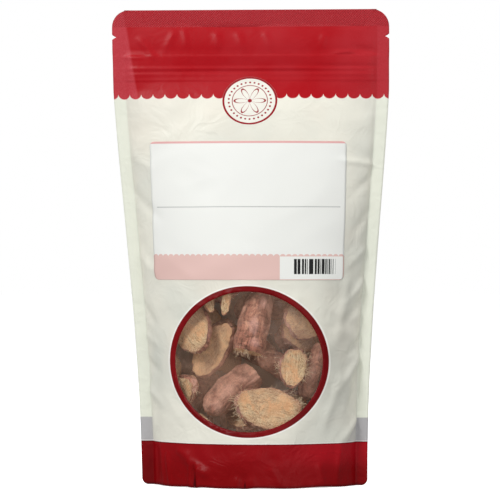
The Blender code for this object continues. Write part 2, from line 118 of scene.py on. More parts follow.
def penFor(tree):
    # short ways to write a node tree
    def node(kind, **settings):
        made = tree.nodes.new(kind)
        for key, value in settings.items():
            setattr(made, key, value)
        return made

    def plug(value, socket):
        if isinstance(value, bpy.types.NodeSocket):
            tree.links.new(value, socket)
        else:
            socket.default_value = value

    def calc(operation, *values):
        made = node("ShaderNodeMath", operation=operation)
        for index, value in enumerate(values):
            plug(value, made.inputs[index])
        return made.outputs[0]

    def times(first, second):
        return calc("MULTIPLY", first, second)

    def plus(first, second):
        return calc("ADD", first, second)

    def minus(first, second):
        return calc("SUBTRACT", first, second)

    def over(first, second):
        return calc("DIVIDE", first, second)

    def larger(first, second):
        return calc("MAXIMUM", first, second)

    def unsigned(value):
        return calc("ABSOLUTE", value)

    def blend(share, first, second):
        made = node("ShaderNodeMix", data_type="RGBA", clamp_factor=True)
        plug(share, made.inputs[0])
        plug(first, made.inputs[6])
        plug(second, made.inputs[7])
        return made.outputs[2]

    def ramp(value, low, high, start=0.0, end=1.0):
        made = node("ShaderNodeMapRange", interpolation_type="SMOOTHSTEP")
        for socket, number in zip(made.inputs, (value, low, high, start, end)):
            plug(number, socket)
        return made.outputs[0]

    def band(value, low, lowFull, highFull, high):
        # one between the two full marks, nothing beyond low and high
        return times(ramp(value, low, lowFull), ramp(value, high, highFull))

    def noiseMap(vector, scale, detail, rough=0.5, distortion=0.0):
        made = node("ShaderNodeTexNoise")
        plug(vector, made.inputs["Vector"])
        for key, value in dict(Scale=scale, Detail=detail, Roughness=rough, Distortion=distortion).items():
            made.inputs[key].default_value = value
        return made.outputs["Fac"]

    def grain(vector, name):
        return noiseMap(vector, *grains[name])

    def split(vector):
        made = node("ShaderNodeSeparateXYZ")
        plug(vector, made.inputs[0])
        return made.outputs[0], made.outputs[1], made.outputs[2]

    def scaled(vector, scale, shift=(0.0, 0.0, 0.0)):
        made = node("ShaderNodeMapping")
        plug(vector, made.inputs["Vector"])
        made.inputs["Scale"].default_value = scale
        made.inputs["Location"].default_value = shift
        return made.outputs[0]

    def streaks(vector, name):
        scale, settings = drawn[name]
        return noiseMap(scaled(vector, scale), 1.0, *settings)

    def bump(height, distance, strength=1.0, normal=None):
        made = node("ShaderNodeBump")
        plug(height, made.inputs["Height"])
        made.inputs["Distance"].default_value = distance
        made.inputs["Strength"].default_value = strength
        if normal is not None:
            plug(normal, made.inputs["Normal"])
        return made.outputs[0]

    return SimpleNamespace(node=node, plug=plug, calc=calc, times=times, plus=plus, minus=minus, over=over,
                           larger=larger, unsigned=unsigned, blend=blend, ramp=ramp, band=band, grain=grain,
                           streaks=streaks, split=split, scaled=scaled, bump=bump)


def newMaterial(name, **sockets):
    material = bpy.data.materials.new(name)
    material.use_nodes = True
    pen = penFor(material.node_tree)
    shader = material.node_tree.nodes["Principled BSDF"]
    for key, value in sockets.items():
        shader.inputs[key].default_value = value
    return material, pen, shader


def newGroup(name, inputs, outputs):
    group = bpy.data.node_groups.new(name, "ShaderNodeTree")
    for title, kind, value in inputs:
        socket = group.interface.new_socket(title, in_out="INPUT", socket_type=kind)
        if value is not None:
            socket.default_value = value
    for title, kind in outputs:
        group.interface.new_socket(title, in_out="OUTPUT", socket_type=kind)
    pen = penFor(group)
    return group, pen, pen.node("NodeGroupInput"), pen.node("NodeGroupOutput")


def useGroup(pen, group, **inputs):
    made = pen.node("ShaderNodeGroup", node_tree=group)
    for key, value in inputs.items():
        pen.plug(value, made.inputs[key])
    return made


# camera, light and floor

view = dict(distance=2.1, height=0.1519, turn=4.5, millimetresWide=323.8, sensor=36.0)
lamps = dict(
    key=dict(place=(-0.95, -1.55, 1.25), size=0.6, power=21.0),
    fill=dict(place=(1.1, -1.8, 0.35), size=1.2, power=6.9),
    top=dict(place=(0.2, -0.3, 1.6), size=0.7, power=6.2),
    back=dict(place=(1.0, 1.9, 1.2), size=0.8, power=20.0),
)
sky = dict(diffuse=0.46, gloss=0.13, seen=1.0)
floor = dict(radius=9.0, sides=48, glow=0.62, colour=linear(250, 250, 250))


def makeCamera():
    data = bpy.data.cameras.new("camera")
    data.sensor_width = view["sensor"]
    data.lens = view["sensor"] * view["distance"] / (view["millimetresWide"] / 1000.0)
    camera = bpy.data.objects.new("camera", data)
    turn = math.radians(view["turn"])
    camera.location = (view["distance"] * math.sin(turn), -view["distance"] * math.cos(turn), view["height"])
    camera.rotation_euler = (math.pi / 2, 0.0, turn)
    scene.collection.objects.link(camera)
    scene.camera = camera


def makeLamps():
    for name, values in lamps.items():
        data = bpy.data.lights.new(name, "AREA")
        data.size = values["size"]
        data.energy = values["power"]
        lamp = bpy.data.objects.new(name, data)
        lamp.location = values["place"]
        aim = Vector((0.0, 0.0, 0.15)) - lamp.location
        lamp.rotation_euler = aim.to_track_quat("-Z", "Y").to_euler()
        scene.collection.objects.link(lamp)
    world = bpy.data.worlds.new("studio")
    world.use_nodes = True
    background = world.node_tree.nodes["Background"]
    background.inputs["Color"].default_value = (1.0, 1.0, 1.0, 1.0)
    # white to look at, softer as light, and dim in the gloss so that the reds stay deep
    pen = penFor(world.node_tree)
    path = pen.node("ShaderNodeLightPath")
    strength = pen.calc("MULTIPLY_ADD", path.outputs["Is Camera Ray"], sky["seen"] - sky["diffuse"],
                        sky["diffuse"])
    gloss = pen.times(path.outputs["Is Glossy Ray"], sky["gloss"] - sky["diffuse"])
    pen.plug(pen.plus(strength, gloss), background.inputs["Strength"])
    scene.world = world


def makeFloor():
    material, _, shader = newMaterial("floorPaper", **{"Roughness": 0.9, "Base Color": floor["colour"]})
    shader.inputs["Emission Color"].default_value = (1.0, 1.0, 1.0, 1.0)
    shader.inputs["Emission Strength"].default_value = floor["glow"]
    turns = [2 * math.pi * k / floor["sides"] for k in range(floor["sides"])]
    verts = [(floor["radius"] * math.cos(turn), floor["radius"] * math.sin(turn), 0.0) for turn in turns]
    sheet = newPiece("floor", verts, [tuple(range(floor["sides"]))], [material])
    sheet.visible_diffuse = sheet.visible_glossy = False  # it throws no light back on the pouch


makeCamera()
makeLamps()
makeFloor()
scene.view_settings.view_transform = "Standard"
print("camera, light and floor placed")


# paper label, in metres: its place on the film, and its print from its own lower left corner

label = dict(
    centre=(-0.0016, 0.1773), size=(0.1288, 0.0890), corner=0.0030, paper=0.00016, lift=0.00022,
    strip=0.0013, rule=0.0467, ruleWide=0.0005, ruleEnds=(0.0039, 0.1252), band=0.0165, bandPitch=0.0039,
    bandDepth=0.0016, box=(0.0858, 0.1281, 0.0004, 0.0150),
    bars=(0.0950, 0.1228, 0.0037, 0.0134), barWidth=0.00047, barGap=0.42,
    white=linear(238, 239, 234), whiteGrey=linear(235, 236, 232), pink=linear(227, 191, 183),
    stripPink=linear(226, 170, 168), grey=linear(176, 176, 174), ink=linear(16, 15, 16),
    columns=90, rows=58, cornerRows=6,
)


# film surface

sectionTurns = np.linspace(0.0, math.pi / 2, 121)
sectionSines = np.sin(sectionTurns)


def sectionDepths(z):
    share = min(max(z, 0.0) / pouch["zipHeight"], 1.0)
    lens = pouch["bulge"] * (1.0 - share ** pouch["bulgePower"]) ** pouch["bulgeEase"]
    head = (z - pouch["zipHeight"]) / (pouch["headEnd"] - pouch["zipHeight"])
    if 0.0 < head < 1.0:
        lens += pouch["headBulge"] * math.sin(math.pi * head)
    near = abs(z - pouch["zipHeight"]) / pouch["zipSpread"]
    pinch = pouch["zipPinch"] * math.sqrt(1.0 - near * near) if near < 1.0 else 0.0
    lens = lens * np.clip(1.0 - sectionSines**2, 0.0, 1.0) ** pouch["roundness"]
    return np.hypot(lens, pinch * np.clip(1.0 - sectionSines**24, 0.0, 1.0))


def sectionOf(z):
    # half the open width that the film's fixed length allows, and its length along the section
    depths = sectionDepths(z)
    low, high = innerHalf * 0.5, innerHalf
    for _ in range(36):
        half = (low + high) / 2
        steps = np.hypot(half * np.diff(sectionSines), np.diff(depths))
        if steps.sum() > innerHalf:
            high = half
        else:
            low = half
    lengths = np.concatenate([[0.0], np.cumsum(steps)])
    return half, lengths, depths


def basePoints(u, z):
    # film points before relief, for a grid of u and one height a row; depth is off the middle plane
    across, depth = np.empty_like(u), np.empty_like(u)
    for row in range(u.shape[0]):
        half, lengths, depths = sectionOf(float(z[row, 0]))
        along = np.abs(u[row])
        sine = np.interp(along, lengths, sectionSines)
        beyond = np.clip(along - lengths[-1], 0.0, None)
        across[row] = np.sign(u[row]) * (half * sine + beyond)
        depth[row] = np.interp(along, lengths, depths)
    return across, depth


# folds pressed into the film: from u, z to u, z in millimetres, depth and half width
frontFolds = (
    (83, 96, 68, 84, -1.6, 2.4), (83, 84, 60, 62, 1.5, 3.0), (82, 76, 72, 46, -1.8, 4.2),
    (82, 44, 62, 28, 1.3, 2.8), (83, 122, 64, 106, -1.5, 2.6), (82, 134, 66, 118, 1.3, 2.4),
    (82, 154, 64, 140, 1.0, 2.8), (83, 207, 58, 210, 1.2, 1.7), (83, 201, 66, 186, -0.9, 3.2),
    (80, 176, 68, 160, -0.8, 3.0), (62, 70, 46, 30, 1.1, 3.6), (66, 132, 60, 96, 1.2, 3.4),
    (-82, 80, -60, 70, -1.4, 3.2), (-82, 62, -58, 50, 1.2, 3.4), (-82, 116, -62, 100, -1.0, 2.8),
    (-82, 98, -66, 90, 0.8, 2.4), (-82, 150, -66, 138, 0.8, 3.0), (-82, 190, -60, 172, -1.0, 3.4),
    (-80, 214, -66, 204, 0.6, 2.6), (-60, 58, -40, 34, 0.8, 4.0), (-30, 40, 24, 38, 0.35, 1.2),
    (-66, 24, -64, 2, 1.3, 2.2), (-73, 24, -72, 4, -0.8, 1.6), (-37.5, 13, -37.2, -4, -3.0, 1.3),
    (-40.3, 12, -40.2, -4, 1.7, 1.5), (-34.6, 12, -34.0, -4, 1.7, 1.5), (-29, 9, -47, 21, 2.1, 3.0),
    (-50, 24, -38, 20, 1.1, 2.6), (-60.5, 20, -57, -2, 1.4, 1.7), (-3.5, 7, -3.5, -2, -1.8, 1.4),
    (-8, 6, -9, -2, 0.9, 2.2), (1, 6, 3, -2, 0.8, 2.2),
    (30, 18, 40, 2, -0.8, 2.4), (62, 24, 60, 2, 0.9, 2.2), (14, 12, 22, 0, 0.9, 2.0),
    (46, 14, 50, 0, 1.0, 2.2),
    (-72, 288, -62, 276, 0.7, 2.0), (-50, 292, -56, 280, 0.6, 1.8), (-43, 294, -41, 282, 0.5, 1.4),
    (-22, 292, -20, 282, 0.6, 2.2), (-8, 292, -4, 280, 0.5, 2.2), (10, 292, 14, 281, 0.5, 1.8),
    (48, 291, 46, 282, 0.5, 2.0), (66, 280, 54, 279, 0.7, 0.9), (82, 280, 66, 283, -0.6, 1.8),
    (82, 270, 40, 270.5, -0.5, 1.8), (-83, 277, -70, 276, 0.4, 1.2),
)
backFolds = (
    (-82, 96, -68, 84, -0.9, 2.6), (-80, 70, -64, 56, 0.8, 2.6), (82, 84, 66, 74, -0.8, 2.8),
    (80, 58, 64, 48, 0.7, 2.6), (80, 132, 66, 124, -0.6, 2.6), (-80, 140, -66, 128, 0.6, 2.8),
    (-20, 12, -22, 0, -1.1, 1.6), (26, 12, 24, 0, -0.9, 1.5), (48, 16, 52, 2, 0.6, 2.2),
    (-52, 16, -56, 2, 0.6, 2.2),
    (-40, 292, -46, 280, 0.45, 2.0), (6, 292, 2, 281, 0.4, 1.8), (52, 291, 56, 281, 0.4, 2.0),
)


def foldRelief(u, z, folds):
    total = np.zeros_like(u)
    for u0, z0, u1, z1, depth, width in folds:
        along = np.array((u1 - u0, z1 - z0)) / 1000.0
        length = np.linalg.norm(along)
        along /= length
        du, dz = u - u0 / 1000.0, z - z0 / 1000.0
        run = (du * along[0] + dz * along[1]) / length
        side = (du * along[1] - dz * along[0]) / (width / 1000.0)
        fade = eased(-0.25, 0.12, run) * (1.0 - eased(0.55, 1.25, run))
        total += depth / 1000.0 * fade * np.exp(-side * side)
    return total


relief = dict(
    seeds={-1: 3.7, 1: 41.3}, starts={-1: 0.6, 1: 2.1}, patchEdge=(-0.25, 0.55), patchSize=(0.045, 0.050),
    drift=4.4, driftSize=(0.050, 0.045), slant=90.0, strengthSize=(1.3, 0.035),
    dents=0.0010, dentSize=(0.055, 0.070), waves=0.00042, waveSize=(0.018, 0.034),
    creases=((0.00060, 0.024, 28.0), (0.00055, 0.019, -36.0), (0.00040, 0.030, 78.0)), onLabel=0.45,
    pucker=0.00085, puckerLength=0.0175, puckerReach=0.012, lumps=0.00075, lumpSize=(0.019, 0.017),
    flange=0.00028, track=0.00045, trackWide=0.0012, lowerLine=0.2655, topSeal=0.00030, deepest=0.00045,
    bodyFoot=(0.004, 0.022), bodyTop=(0.240, 0.262), onHead=0.08,
    filledTop=(0.125, 0.165), restTop=(0.145, 0.170),
)


def creaseField(u, z, size, turn, seed):
    # sharp ridges where smooth noise crosses zero, stretched along one direction
    turn = math.radians(turn)
    along, across = u * math.cos(turn) + z * math.sin(turn), z * math.cos(turn) - u * math.sin(turn)
    return 0.35 - np.abs(noiseField(along, across, size * 1.7, size * 0.75, seed))


def reliefOf(u, z, side):
    # how far the film stands off its plain form: dents, creases, puckers, zip lines, what presses inside
    r = relief
    seed = r["seeds"][side]
    edge = innerHalf - np.abs(u)
    inner = eased(0.0, 0.010, edge)
    body = (1.0 - eased(*r["bodyTop"], z)) * eased(*r["bodyFoot"], z)
    total = r["dents"] * noiseField(u, z, *r["dentSize"], seed) * inner * (0.3 + 0.7 * body)
    fine = r["waves"] * noiseField(u, z, *r["waveSize"], seed + 9)
    for index, (height, size, turn) in enumerate(r["creases"]):
        patch = eased(*r["patchEdge"], noiseField(u, z, *r["patchSize"], seed + 60 + index))
        fine += height * patch * creaseField(u, z, size, turn, seed + 70 + index)
    if side < 0:
        (cu, cz), (width, tall) = label["centre"], label["size"]
        under = eased(0.006, -0.002, np.abs(u - cu) - width / 2)
        under = under * eased(0.006, -0.002, np.abs(z - cz) - tall / 2)
        fine *= 1.0 - (1.0 - r["onLabel"]) * under
    total += fine * inner * (r["onHead"] + (1.0 - r["onHead"]) * body)
    phase = r["drift"] * noiseField(u, z, *r["driftSize"], seed + 20) + r["starts"][side]
    pucker = np.sin(2 * math.pi * z / r["puckerLength"] + phase - r["slant"] * np.abs(edge))
    strength = 0.5 + 0.6 * noiseField(np.sign(u), z, *r["strengthSize"], seed + 31)
    near = np.exp(-np.clip(edge, 0, None) / r["puckerReach"]) * eased(0.0, 0.005, edge)
    total += r["pucker"] * pucker * np.clip(strength, 0.0, 1.2) * near * body
    filled = body * (1.0 - eased(*r["filledTop"], z)) * eased(0.006, 0.024, edge)
    total += r["lumps"] * noiseField(u, z, *r["lumpSize"], seed + 50) * filled
    total += foldRelief(u, z, frontFolds if side < 0 else backFolds) * eased(-0.004, 0.004, edge)
    flange = eased(pouch["zipLow"] - 0.0005, pouch["zipLow"] + 0.0005, z)
    flange *= 1.0 - eased(pouch["zipHigh"] - 0.0005, pouch["zipHigh"] + 0.0005, z)
    track = np.exp(-((z - pouch["zipTrack"]) / r["trackWide"]) ** 2)
    track += 0.6 * np.exp(-((z - r["lowerLine"]) / r["trackWide"]) ** 2)
    crushed = 0.35 + 0.65 * eased(-0.001, 0.001, edge)
    total += (r["flange"] * flange + r["track"] * track * (0.4 + 0.6 * inner)) * crushed
    total -= r["topSeal"] * eased(pouch["topSeal"] - 0.0020, pouch["topSeal"], z) * inner
    dented = -r["deepest"] * np.tanh(np.clip(-total, 0.0, None) / r["deepest"])
    resting = (1.0 - eased(*r["restTop"], z)) * eased(0.010, 0.020, edge)
    return np.where(total < 0.0, total + (dented - total) * resting, total)


hem = dict(height=0.0007, waves=150.0, phase=0.9, reach=0.012,
           dips=((-0.0372, 0.0032, 1.2), (-0.0030, 0.0030, 1.0)))


sway = dict(slow=41.0, slowPhase=1.2, slowReach=0.0004, quick=97.0, quickReach=0.0002)


def swayOf(u, z):
    # the flat seals wave a little, both panels together
    amount = eased(innerHalf - 0.006, pouch["flatWidth"] / 2, np.abs(u)) * np.sign(u)
    wave = np.sin(z * sway["slow"] + sway["slowPhase"]) * sway["slowReach"]
    wave += np.sin(z * sway["quick"]) * sway["quickReach"]
    return amount * wave * eased(0.0, 0.03, z)


def filmPoints(u, z, side, lift=0.0):
    # outer face of a panel, its normals, and lift above it
    across, depth = basePoints(u, z)
    points = np.stack([across, side * (depth + pouch["offset"]), z], axis=-1)
    normals = gridNormals(points, side)
    points = points + normals * (reliefOf(u, z, side) + lift)[..., None]
    points[..., 0] += leanAt(z)
    points[..., 1] += swayOf(u, z)
    # the cut edge at the foot rises and falls a little between its folds
    rise = 0.6 + 0.4 * np.sin(u * hem["waves"] + hem["phase"])
    for place, half, dip in hem["dips"]:
        rise -= dip * np.exp(-((u - place) / half) ** 2)
    fade = (1.0 - eased(0.0, hem["reach"], z)) * eased(0.0, hem["reach"], innerHalf - np.abs(u))
    points[..., 2] += hem["height"] * np.clip(rise, 0.0, None) * fade
    points[..., 2] = np.clip(points[..., 2], pouch["ground"], pouch["height"])
    return points, gridNormals(points, side)


def gridNormals(points, side):
    alongU = np.gradient(points, axis=1)
    alongZ = np.gradient(points, axis=0)
    normals = np.cross(alongU, alongZ)
    normals /= np.linalg.norm(normals, axis=-1, keepdims=True) + 1e-12
    return normals if side < 0 else -normals


def outlineHalf(z):
    half = np.full_like(z, pouch["flatWidth"] / 2)
    for distance, radius in ((pouch["height"] - z, pouch["cornerTop"]), (z, pouch["cornerFoot"])):
        inside = np.clip(radius - distance, 0.0, radius)
        half -= radius - np.sqrt(radius**2 - inside**2)
    bite = 1.0 - np.abs(z - pouch["notchHeight"]) / pouch["notchHalf"]
    return half - pouch["notchDepth"] * np.clip(bite, 0.0, 1.0) ** 1.3


def panelGrid():
    half = pouch["flatWidth"] / 2
    sealSteps = np.linspace(innerHalf, half, 7)[1:]
    middle = np.linspace(-innerHalf, innerHalf, round(2 * innerHalf / pouch["columnStep"]) + 1)
    columns = np.concatenate([-sealSteps[::-1], middle, sealSteps])
    rows = np.arange(0.0, pouch["height"], pouch["rowStep"])
    low, high = pouch["zipLow"] - 0.002, pouch["zipHigh"] + 0.002
    zipZone = (rows > low) & (rows < high)
    rows = np.concatenate([rows[~zipZone], np.arange(low, high, pouch["zipStep"])])
    notch = pouch["notchHeight"] + np.linspace(-1.0, 1.0, 9) * pouch["notchHalf"]
    rows = rows[np.abs(rows - pouch["notchHeight"]) > pouch["notchHalf"] + 0.0005]
    arcs = []
    for edge, radius, way in ((pouch["height"], pouch["cornerTop"], -1), (0.0, pouch["cornerFoot"], 1)):
        arcs += [edge + way * radius * (1.0 - math.cos(turn)) for turn in np.linspace(0.0, math.pi / 2, 9)]
        rows = rows[np.abs(rows - edge) > radius]
    rows = np.sort(np.concatenate([rows, notch, arcs]))
    u, z = np.meshgrid(columns, rows)
    edge = outlineHalf(z)
    squeeze = (edge - innerHalf) / (half - innerHalf)
    beyond = np.clip(np.abs(u) - innerHalf, 0.0, None)
    return np.sign(u) * (np.minimum(np.abs(u), innerHalf) + beyond * squeeze), z


def snapToWindow(points, uv):
    # moves the grid points nearest to the window's edge onto it, so that film and window share that edge
    (cx, cz), (ax, az) = window["centre"], window["half"]

    def reach(p):
        return np.sqrt(((p[..., 0] - leanAt(p[..., 2]) - cx) / ax) ** 2 + ((p[..., 2] - cz) / az) ** 2) - 1.0

    state = reach(points)
    best = np.full(state.shape, 9.0)
    target = points.copy()
    newUv = uv.copy()
    for axis in (0, 1):
        for way in (1, -1):
            other = np.roll(state, -way, axis=axis)
            otherPoints = np.roll(points, -way, axis=axis)
            otherUv = np.roll(uv, -way, axis=axis)
            crossing = (state * other < 0) & (np.abs(state) <= np.abs(other)) & (np.abs(state) < 0.2)
            share = np.where(crossing, state / np.where(crossing, state - other, 1.0), 9.0)
            closer = crossing & (share < best)
            best = np.where(closer, share, best)
            target[closer] = (points + (otherPoints - points) * share[..., None])[closer]
            newUv[closer] = (uv + (otherUv - uv) * share[..., None])[closer]
    on = best < 9.0
    sides = np.where(on, 0, np.sign(reach(target))).astype(int)
    return target, newUv, sides


def gridFaces(sides, side):
    # quads of the grid, cut in two where the window's edge crosses them; returns faces outside and inside
    rows, columns = sides.shape
    outside, inside = [], []
    for i in range(rows - 1):
        for j in range(columns - 1):
            corners = [(i, j), (i, j + 1), (i + 1, j + 1), (i + 1, j)]
            if side > 0:
                corners.reverse()
            marks = [sides[c] for c in corners]
            ids = [r * columns + c for r, c in corners]
            if -1 in marks and 1 in marks:
                first = 0 if marks[0] == 0 else 1
                for k in (first, first + 2):
                    face = (ids[k % 4], ids[(k + 1) % 4], ids[(k + 2) % 4])
                    (inside if marks[(k + 1) % 4] < 0 else outside).append(face)
            else:
                (inside if -1 in marks else outside).append(tuple(ids))
    return outside, inside


def shellPiece(name, points, normals, uv, faces, thickness, material):
    # a closed thin wall: the outer face, the same face moved in, and a rim round every open edge
    flat, flatNormals, flatUv = points.reshape(-1, 3), normals.reshape(-1, 3), uv.reshape(-1, 2)
    used = np.unique(np.concatenate([np.array(face) for face in faces]))
    renumber = {int(old): new for new, old in enumerate(used)}
    count = len(used)
    verts = np.concatenate([flat[used], flat[used] - flatNormals[used] * thickness])
    verts[:, 2] = np.clip(verts[:, 2], pouch["ground"], pouch["height"])
    outer = [tuple(renumber[k] for k in face) for face in faces]
    edges = {}
    for face in outer:
        for a, b in zip(face, face[1:] + face[:1]):
            edges[(a, b)] = True
    rim = [(b, a, a + count, b + count) for a, b in edges if (b, a) not in edges]
    innerFaces = [tuple(k + count for k in reversed(face)) for face in outer]
    return newPiece(name, verts, outer + innerFaces + rim, [material], np.concatenate([flatUv[used]] * 2))


# shared surface effects

# noise patterns: scale in a metre, detail, roughness, distortion
grains = dict(
    crumpleWide=(34.0, 3.0, 0.55, 0.6), crumpleRidges=(62.0, 2.0, 0.5, 0.9), peel=(1500.0, 1.0),
    cool=(17.0, 2.0, 0.5, 0.3), warm=(21.0, 2.0, 0.5, 0.2), flank=(31.0, 3.0, 0.55, 0.4),
    speckle=(1300.0, 2.0), mottle=(30.0, 3.0, 0.6), gloss=(60.0, 2.0), foot=(34.0, 3.0, 0.6),
    haze=(26.0, 3.0, 0.55, 0.4), dusty=(34.0, 2.0), dust=(1150.0, 2.0, 0.6),
    paper=(24.0, 2.0), paperFibre=(900.0, 3.0),
    tangle=(620.0, 4.0, 0.7, 1.4), bruise=(95.0, 4.0, 0.6, 0.5), rubbed=(150.0, 4.0, 0.65, 0.6),
    lilac=(70.0, 2.0), ragged=(170.0, 5.0, 0.7, 0.8), broad=(88.0, 4.0, 0.6, 0.6),
)

# noise drawn out along one axis: scale by axis, then detail, roughness, distortion
drawn = dict(
    strands=((190.0, 1500.0, 1500.0), (5.0, 0.7, 0.4)), wrinkles=((130.0, 620.0, 620.0), (4.0, 0.6, 0.5)),
    rings=((700.0, 120.0, 120.0), (3.0, 0.6, 0.4)), zip=((8.0, 60.0, 400.0), (2.0,)),
)


def makeCrumpleGroup():
    # the fine dents and orange peel of laminated film
    group, pen, given, result = newGroup(
        "filmCrumple",
        [("Vector", "NodeSocketVector", None), ("Crumple", "NodeSocketFloat", 1.0),
         ("Peel", "NodeSocketFloat", 1.0)],
        [("Height", "NodeSocketFloat")])
    wide = pen.grain(given.outputs["Vector"], "crumpleWide")
    ridged = pen.unsigned(pen.minus(pen.grain(given.outputs["Vector"], "crumpleRidges"), 0.5))
    peel = pen.grain(given.outputs["Vector"], "peel")
    crumple = pen.plus(wide, pen.times(ridged, -1.2))
    total = pen.calc("MULTIPLY_ADD", peel, pen.times(given.outputs["Peel"], 0.02),
                     pen.times(crumple, given.outputs["Crumple"]))
    pen.plug(total, result.inputs["Height"])
    return group


crumpleGroup = makeCrumpleGroup()

filmInk = dict(
    cream=linear(234, 232, 219), creamCool=linear(204, 207, 198), creamWarm=linear(238, 227, 212),
    flank=linear(176, 176, 166), seal=linear(235, 238, 223), foldGrey=linear(166, 163, 170),
    halo=linear(247, 243, 238),
    red=linear(172, 10, 22), redPale=linear(206, 84, 94), redFootShaded=linear(134, 0, 5), redDeep=linear(100, 0, 2),
    redShade=linear(132, 8, 18), redBright=linear(196, 22, 38), footShadeRed=linear(62, 0, 4),
    trimPink=linear(226, 180, 178), lineDark=linear(112, 2, 8), lineRed=linear(132, 12, 18),
    bandCusp=0.2530, bandDepth=0.0034, bandPitch=0.0079, bandEdge=0.00045,
    footBand=0.0283, foldTop=0.0437,
    creaseShadows=((-0.0372, 0.0020, 0.0135), (-0.0030, 0.0015, 0.0070)),
    embossPitch=0.0016, embossHeight=0.00012, pitShadeShare=0.50,
    coolShare=0.55, warmShare=0.30, sealShare=0.85, trimShare=0.55, haloShare=0.6, footShadeShare=0.85,
    flankShadeShare=0.45, flankShadeSides=(0.040, 0.054, 0.060, 0.076), flankShadeHeights=(0.030, 0.090, 0.125, 0.190),
    litFacetLeft=0.48, paleSeal=0.28, paleTopSeal=0.27, paleRight=0.13, rightSide=(0.040, 0.078),
    footLightShares=(0.10, 0.55), footLightSides=(0.0, 0.062), footLightHeights=(0.009, 0.024),
    gloss=0.30, glossSpread=0.14, relief=0.0011, reliefOnHead=0.35,
)

badge = dict(
    height=0.2481, half=(0.0178, 0.0156), ring=0.075, dots=30, dotRing=0.77, dotEdge=(0.044, 0.030),
    leaf=0.56, leafPower=1.4, leafEdge=(0.042, 0.026), leafStart=(0.07, 0.10), core=(0.085, 0.070),
    circle=0.64, circleEdge=(0.020, 0.008), disc=linear(236, 234, 224), line=linear(152, 18, 32),
)


def addBadge(pen, colour, u, v):
    # plain badge: ring, dots and a six-leaf rosette
    b, calc, ramp, blend = badge, pen.calc, pen.ramp, pen.blend
    times, plus, minus, over = pen.times, pen.plus, pen.minus, pen.over
    larger, unsigned = pen.larger, pen.unsigned
    du = over(u, b["half"][0])
    dv = over(minus(v, b["height"]), b["half"][1])
    radius = calc("SQRT", plus(times(du, du), times(dv, dv)))
    turn = calc("ARCTAN2", dv, du)
    disc = ramp(radius, 1.006, 0.992)
    ring = times(disc, ramp(radius, 1.0 - b["ring"] - 0.008, 1.0 - b["ring"] + 0.008))
    step = minus(calc("FRACT", times(turn, b["dots"] / (2 * math.pi))), 0.5)
    sideways = times(step, 2 * math.pi / b["dots"] * b["dotRing"])
    fromDot = calc("SQRT", plus(calc("POWER", minus(radius, b["dotRing"]), 2.0), calc("POWER", sideways, 2.0)))
    dots = ramp(fromDot, *b["dotEdge"])
    leaf = times(calc("POWER", unsigned(calc("COSINE", times(turn, 3.0))), b["leafPower"]), b["leaf"])
    leafLine = ramp(unsigned(minus(radius, leaf)), *b["leafEdge"])
    leafLine = times(leafLine, ramp(radius, *b["leafStart"]))
    core = ramp(radius, *b["core"])
    circle = ramp(unsigned(minus(radius, b["circle"])), *b["circleEdge"])
    marks = larger(larger(dots, leafLine), larger(core, circle))
    colour = blend(disc, colour, b["disc"])
    return blend(larger(ring, times(marks, disc)), colour, b["line"])


def addWindowLine(pen, colour, places, mottle):
    # dark line and pale halo round the window
    ink, calc, ramp, blend = filmInk, pen.calc, pen.ramp, pen.blend
    times, plus, minus, over = pen.times, pen.plus, pen.minus, pen.over
    x, _, z = pen.split(places)
    (cx, cz), (ax, az) = window["centre"], window["half"]
    leaning = calc("MULTIPLY_ADD", z, -pouch["lean"] / pouch["height"], pouch["lean"] + cx)
    px = over(minus(x, leaning), ax)
    pz = over(minus(z, cz), az)
    reach = calc("SQRT", plus(times(px, px), times(pz, pz)))
    gap = times(minus(reach, 1.0), (ax + az) / 2)
    line = ramp(gap, window["line"] + 0.00012, window["line"] - 0.00012)
    halo = ramp(gap, window["line"] + window["halo"] + 0.0002, window["line"] + window["halo"] - 0.0002)
    colour = blend(times(halo, window["haloShare"]), colour, ink["halo"])
    return blend(line, colour, blend(mottle, ink["lineDark"], ink["lineRed"]))


